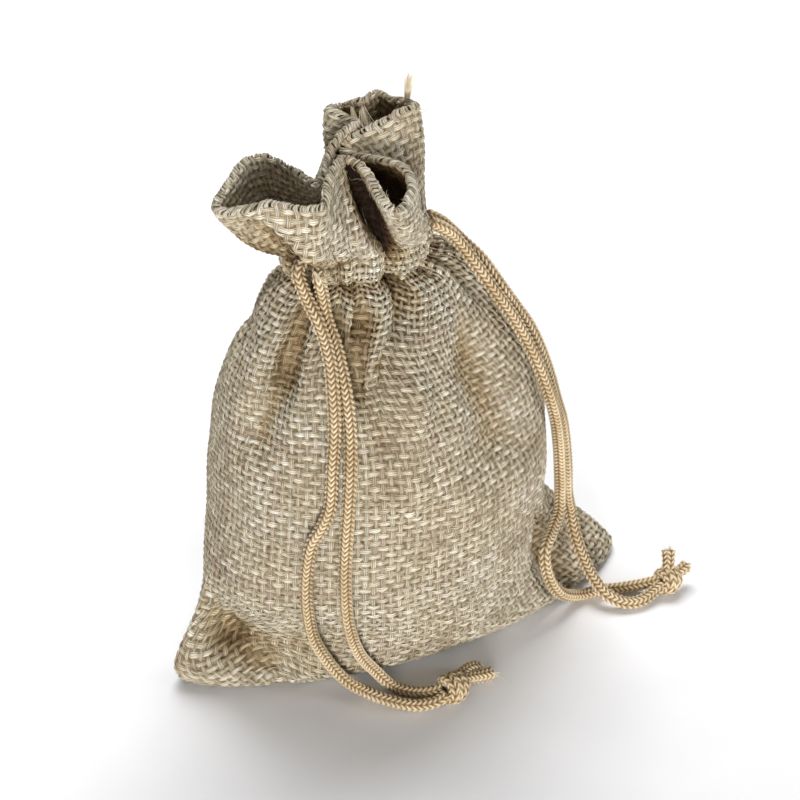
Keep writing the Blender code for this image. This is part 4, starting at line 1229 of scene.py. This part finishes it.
def ground_finish():
    """The sheet seen between the yarns, for the deeper strands of fibre: its dark brown is painted
    shade in the gaps, and it takes the painted shade of the folds too.
    """
    look = Finish("burlap_ground")
    openness = look.attribute("place")[0]
    fine = look.noise(look.place(), 1400.0, 3.0, 0.6)
    colour = look.ramp(fine, (0.32, (100, 84, 60)), (0.5, (142, 126, 98)),
                       (0.66, (184, 170, 144)))
    colour = look.stain(colour, 0.8, look.noise(look.place(), 120.0), (0.35, (214, 200, 182)),
                        (0.65, WHITE))
    # painted shade, brown deep in the folds
    colour = look.stain(colour, 1.0, openness, *PAINTED_FOLD_SHADE)
    return look.done(colour, look.spread(fine, 0.3, 0.7, 0.95, 0.8), fine, 0.5, 0.0002)


def cord_finish():
    """Knitted cord: the raised legs of the stitches with painted highlight, creamy, over valleys
    with painted shade, brown.
    """
    look = Finish("cord_knit")
    lift, run, leg = look.attribute("knit")
    fibre = look.noise((look.times(run, 1.6), look.times(leg, 3.4), 0.0), 3.0, 3.0, 0.6)
    # painted highlight on the raised legs and painted shade in the valleys, by how far each point
    # stands out
    colour = look.ramp(lift, (0.0, (98, 74, 46)), (0.16, (160, 134, 98)), (0.4, (204, 181, 143)),
                       (0.68, (231, 213, 180)), (1.0, (246, 233, 206)))
    colour = look.stain(colour, 0.8, fibre, (0.3, (200, 196, 186)), (0.6, WHITE))
    colour = look.stain(colour, 0.8, look.noise(look.place(), 160.0), (0.36, (226, 219, 206)),
                        (0.62, WHITE))
    return look.done(colour, look.spread(fibre, 0.3, 0.7, 0.7, 0.45), fibre, 0.5, 0.0001,
                     sheen=0.1)


def plain_finish(name, low, high, scale):
    """Fibre, thread or floor: two tones over fine noise."""
    look = Finish(name)
    fine = look.noise(look.place(), scale, 3.0)
    return look.done(look.ramp(fine, (0.35, low), (0.65, high)),
                     look.spread(fine, 0.3, 0.7, 0.85, 0.6), fine, 0.2, 0.00005)


def camera():
    """The photograph's view."""
    turn, rise = math.radians(CAMERA_TURN), math.radians(CAMERA_RISE)
    back = Vector((math.sin(turn) * math.cos(rise), -math.cos(turn) * math.cos(rise),
                   math.sin(rise)))
    data = bpy.data.cameras.new("view")
    data.lens = CAMERA_LENS
    data.sensor_width = CAMERA_SENSOR
    data.clip_start = 0.01
    made = bpy.data.objects.new("view", data)
    made.location = (Vector(CAMERA_AIM) + back * CAMERA_FAR) * MM
    made.rotation_euler = back.to_track_quat("Z", "Y").to_euler()
    bpy.context.scene.collection.objects.link(made)
    bpy.context.scene.camera = made


def area_light(name, right, away, high, size, power):
    """A round soft light, placed as the view sees it and aimed at the sack."""
    turn = math.radians(CAMERA_TURN)
    place = Vector((right * math.cos(turn) - away * math.sin(turn),
                    right * math.sin(turn) + away * math.cos(turn), high))
    data = bpy.data.lights.new(name, "AREA")
    data.shape = "DISK"
    data.size = size
    data.energy = power
    made = bpy.data.objects.new(name, data)
    made.location = place
    made.rotation_euler = (place - Vector(LIGHT_AIM)).to_track_quat("Z", "Y").to_euler()
    bpy.context.scene.collection.objects.link(made)


def studio():
    """A pale floor, a dim white surround and soft lights."""
    world = bpy.data.worlds.new("surround")
    bpy.context.scene.world = world
    world.use_nodes = True
    surround = world.node_tree.nodes["Background"]
    surround.inputs["Color"].default_value = (1.0, 1.0, 1.0, 1.0)
    surround.inputs["Strength"].default_value = 0.02
    mesh = bpy.data.meshes.new("floor")
    mesh.from_pydata([(-3, -3, 0), (3, -3, 0), (3, 3, 0), (-3, 3, 0)], [], [(0, 1, 2, 3)])
    mesh.materials.append(plain_finish("pale_floor", (238, 238, 240), (244, 244, 246), 20.0))
    floor = bpy.data.objects.new("floor", mesh)
    bpy.context.scene.collection.objects.link(floor)
    for light in LIGHTS:
        area_light(*light)
    bpy.context.scene.view_settings.view_transform = "Standard"


def cloth(yarn, ground, thread, dice):
    """The woven cloth, its loose fibres and the ground sheet, which stands for the solid."""
    rows, levels, share, angles = cloth_middle()
    points, directions = skin(rows, levels)
    openness = cavity(rows, points, directions, levels, angles)
    columns = even_columns(points, share)
    woven = woven_pieces(points, directions, columns, levels, openness, yarn)
    strays = fibres("stray_fibres", stray_fibres(points, directions, columns, STRAY_COUNT, dice),
                    STRAY_RADIUS, thread)
    rim_fluff = fibres("rim_fluff", fluff(dice), FLUFF_RADIUS, thread)
    sheet = ground_sheet(rows, levels, angles, openness, ground)
    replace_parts(sheet, "sack_cloth")


def drawcords(cord, thread, dice):
    """The knots with their frayed tails, and the four strands."""
    tied = []
    for values, tails in zip(KNOTS, ((LEFT_TAIL_FRONT, LEFT_TAIL_BACK),
                                     (RIGHT_TAIL_UP, RIGHT_TAIL_OUT))):
        tied.append(knot_piece(values, tails, cord))
        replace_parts(tied[-1], values["name"])
    frays = []
    for tail, count, length in FRAYS:
        frays += frayed(tail, count, length, dice)
    fibres("tail_frays", [*frays, WHITE_THREAD], FRAY_RADIUS, thread)
    for name, route, start, end, knots, turned in STRANDS:
        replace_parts(strand(name + "_knit", route, start, end, turned, cord), name)


def main():
    camera()
    yarn, ground, cord = yarn_finish(), ground_finish(), cord_finish()
    thread = plain_finish("loose_fibre", (214, 196, 160), (240, 230, 208), 900.0)
    dice = np.random.default_rng(11)
    cloth(yarn, ground, thread, dice)
    drawcords(cord, thread, dice)
    studio()


main()
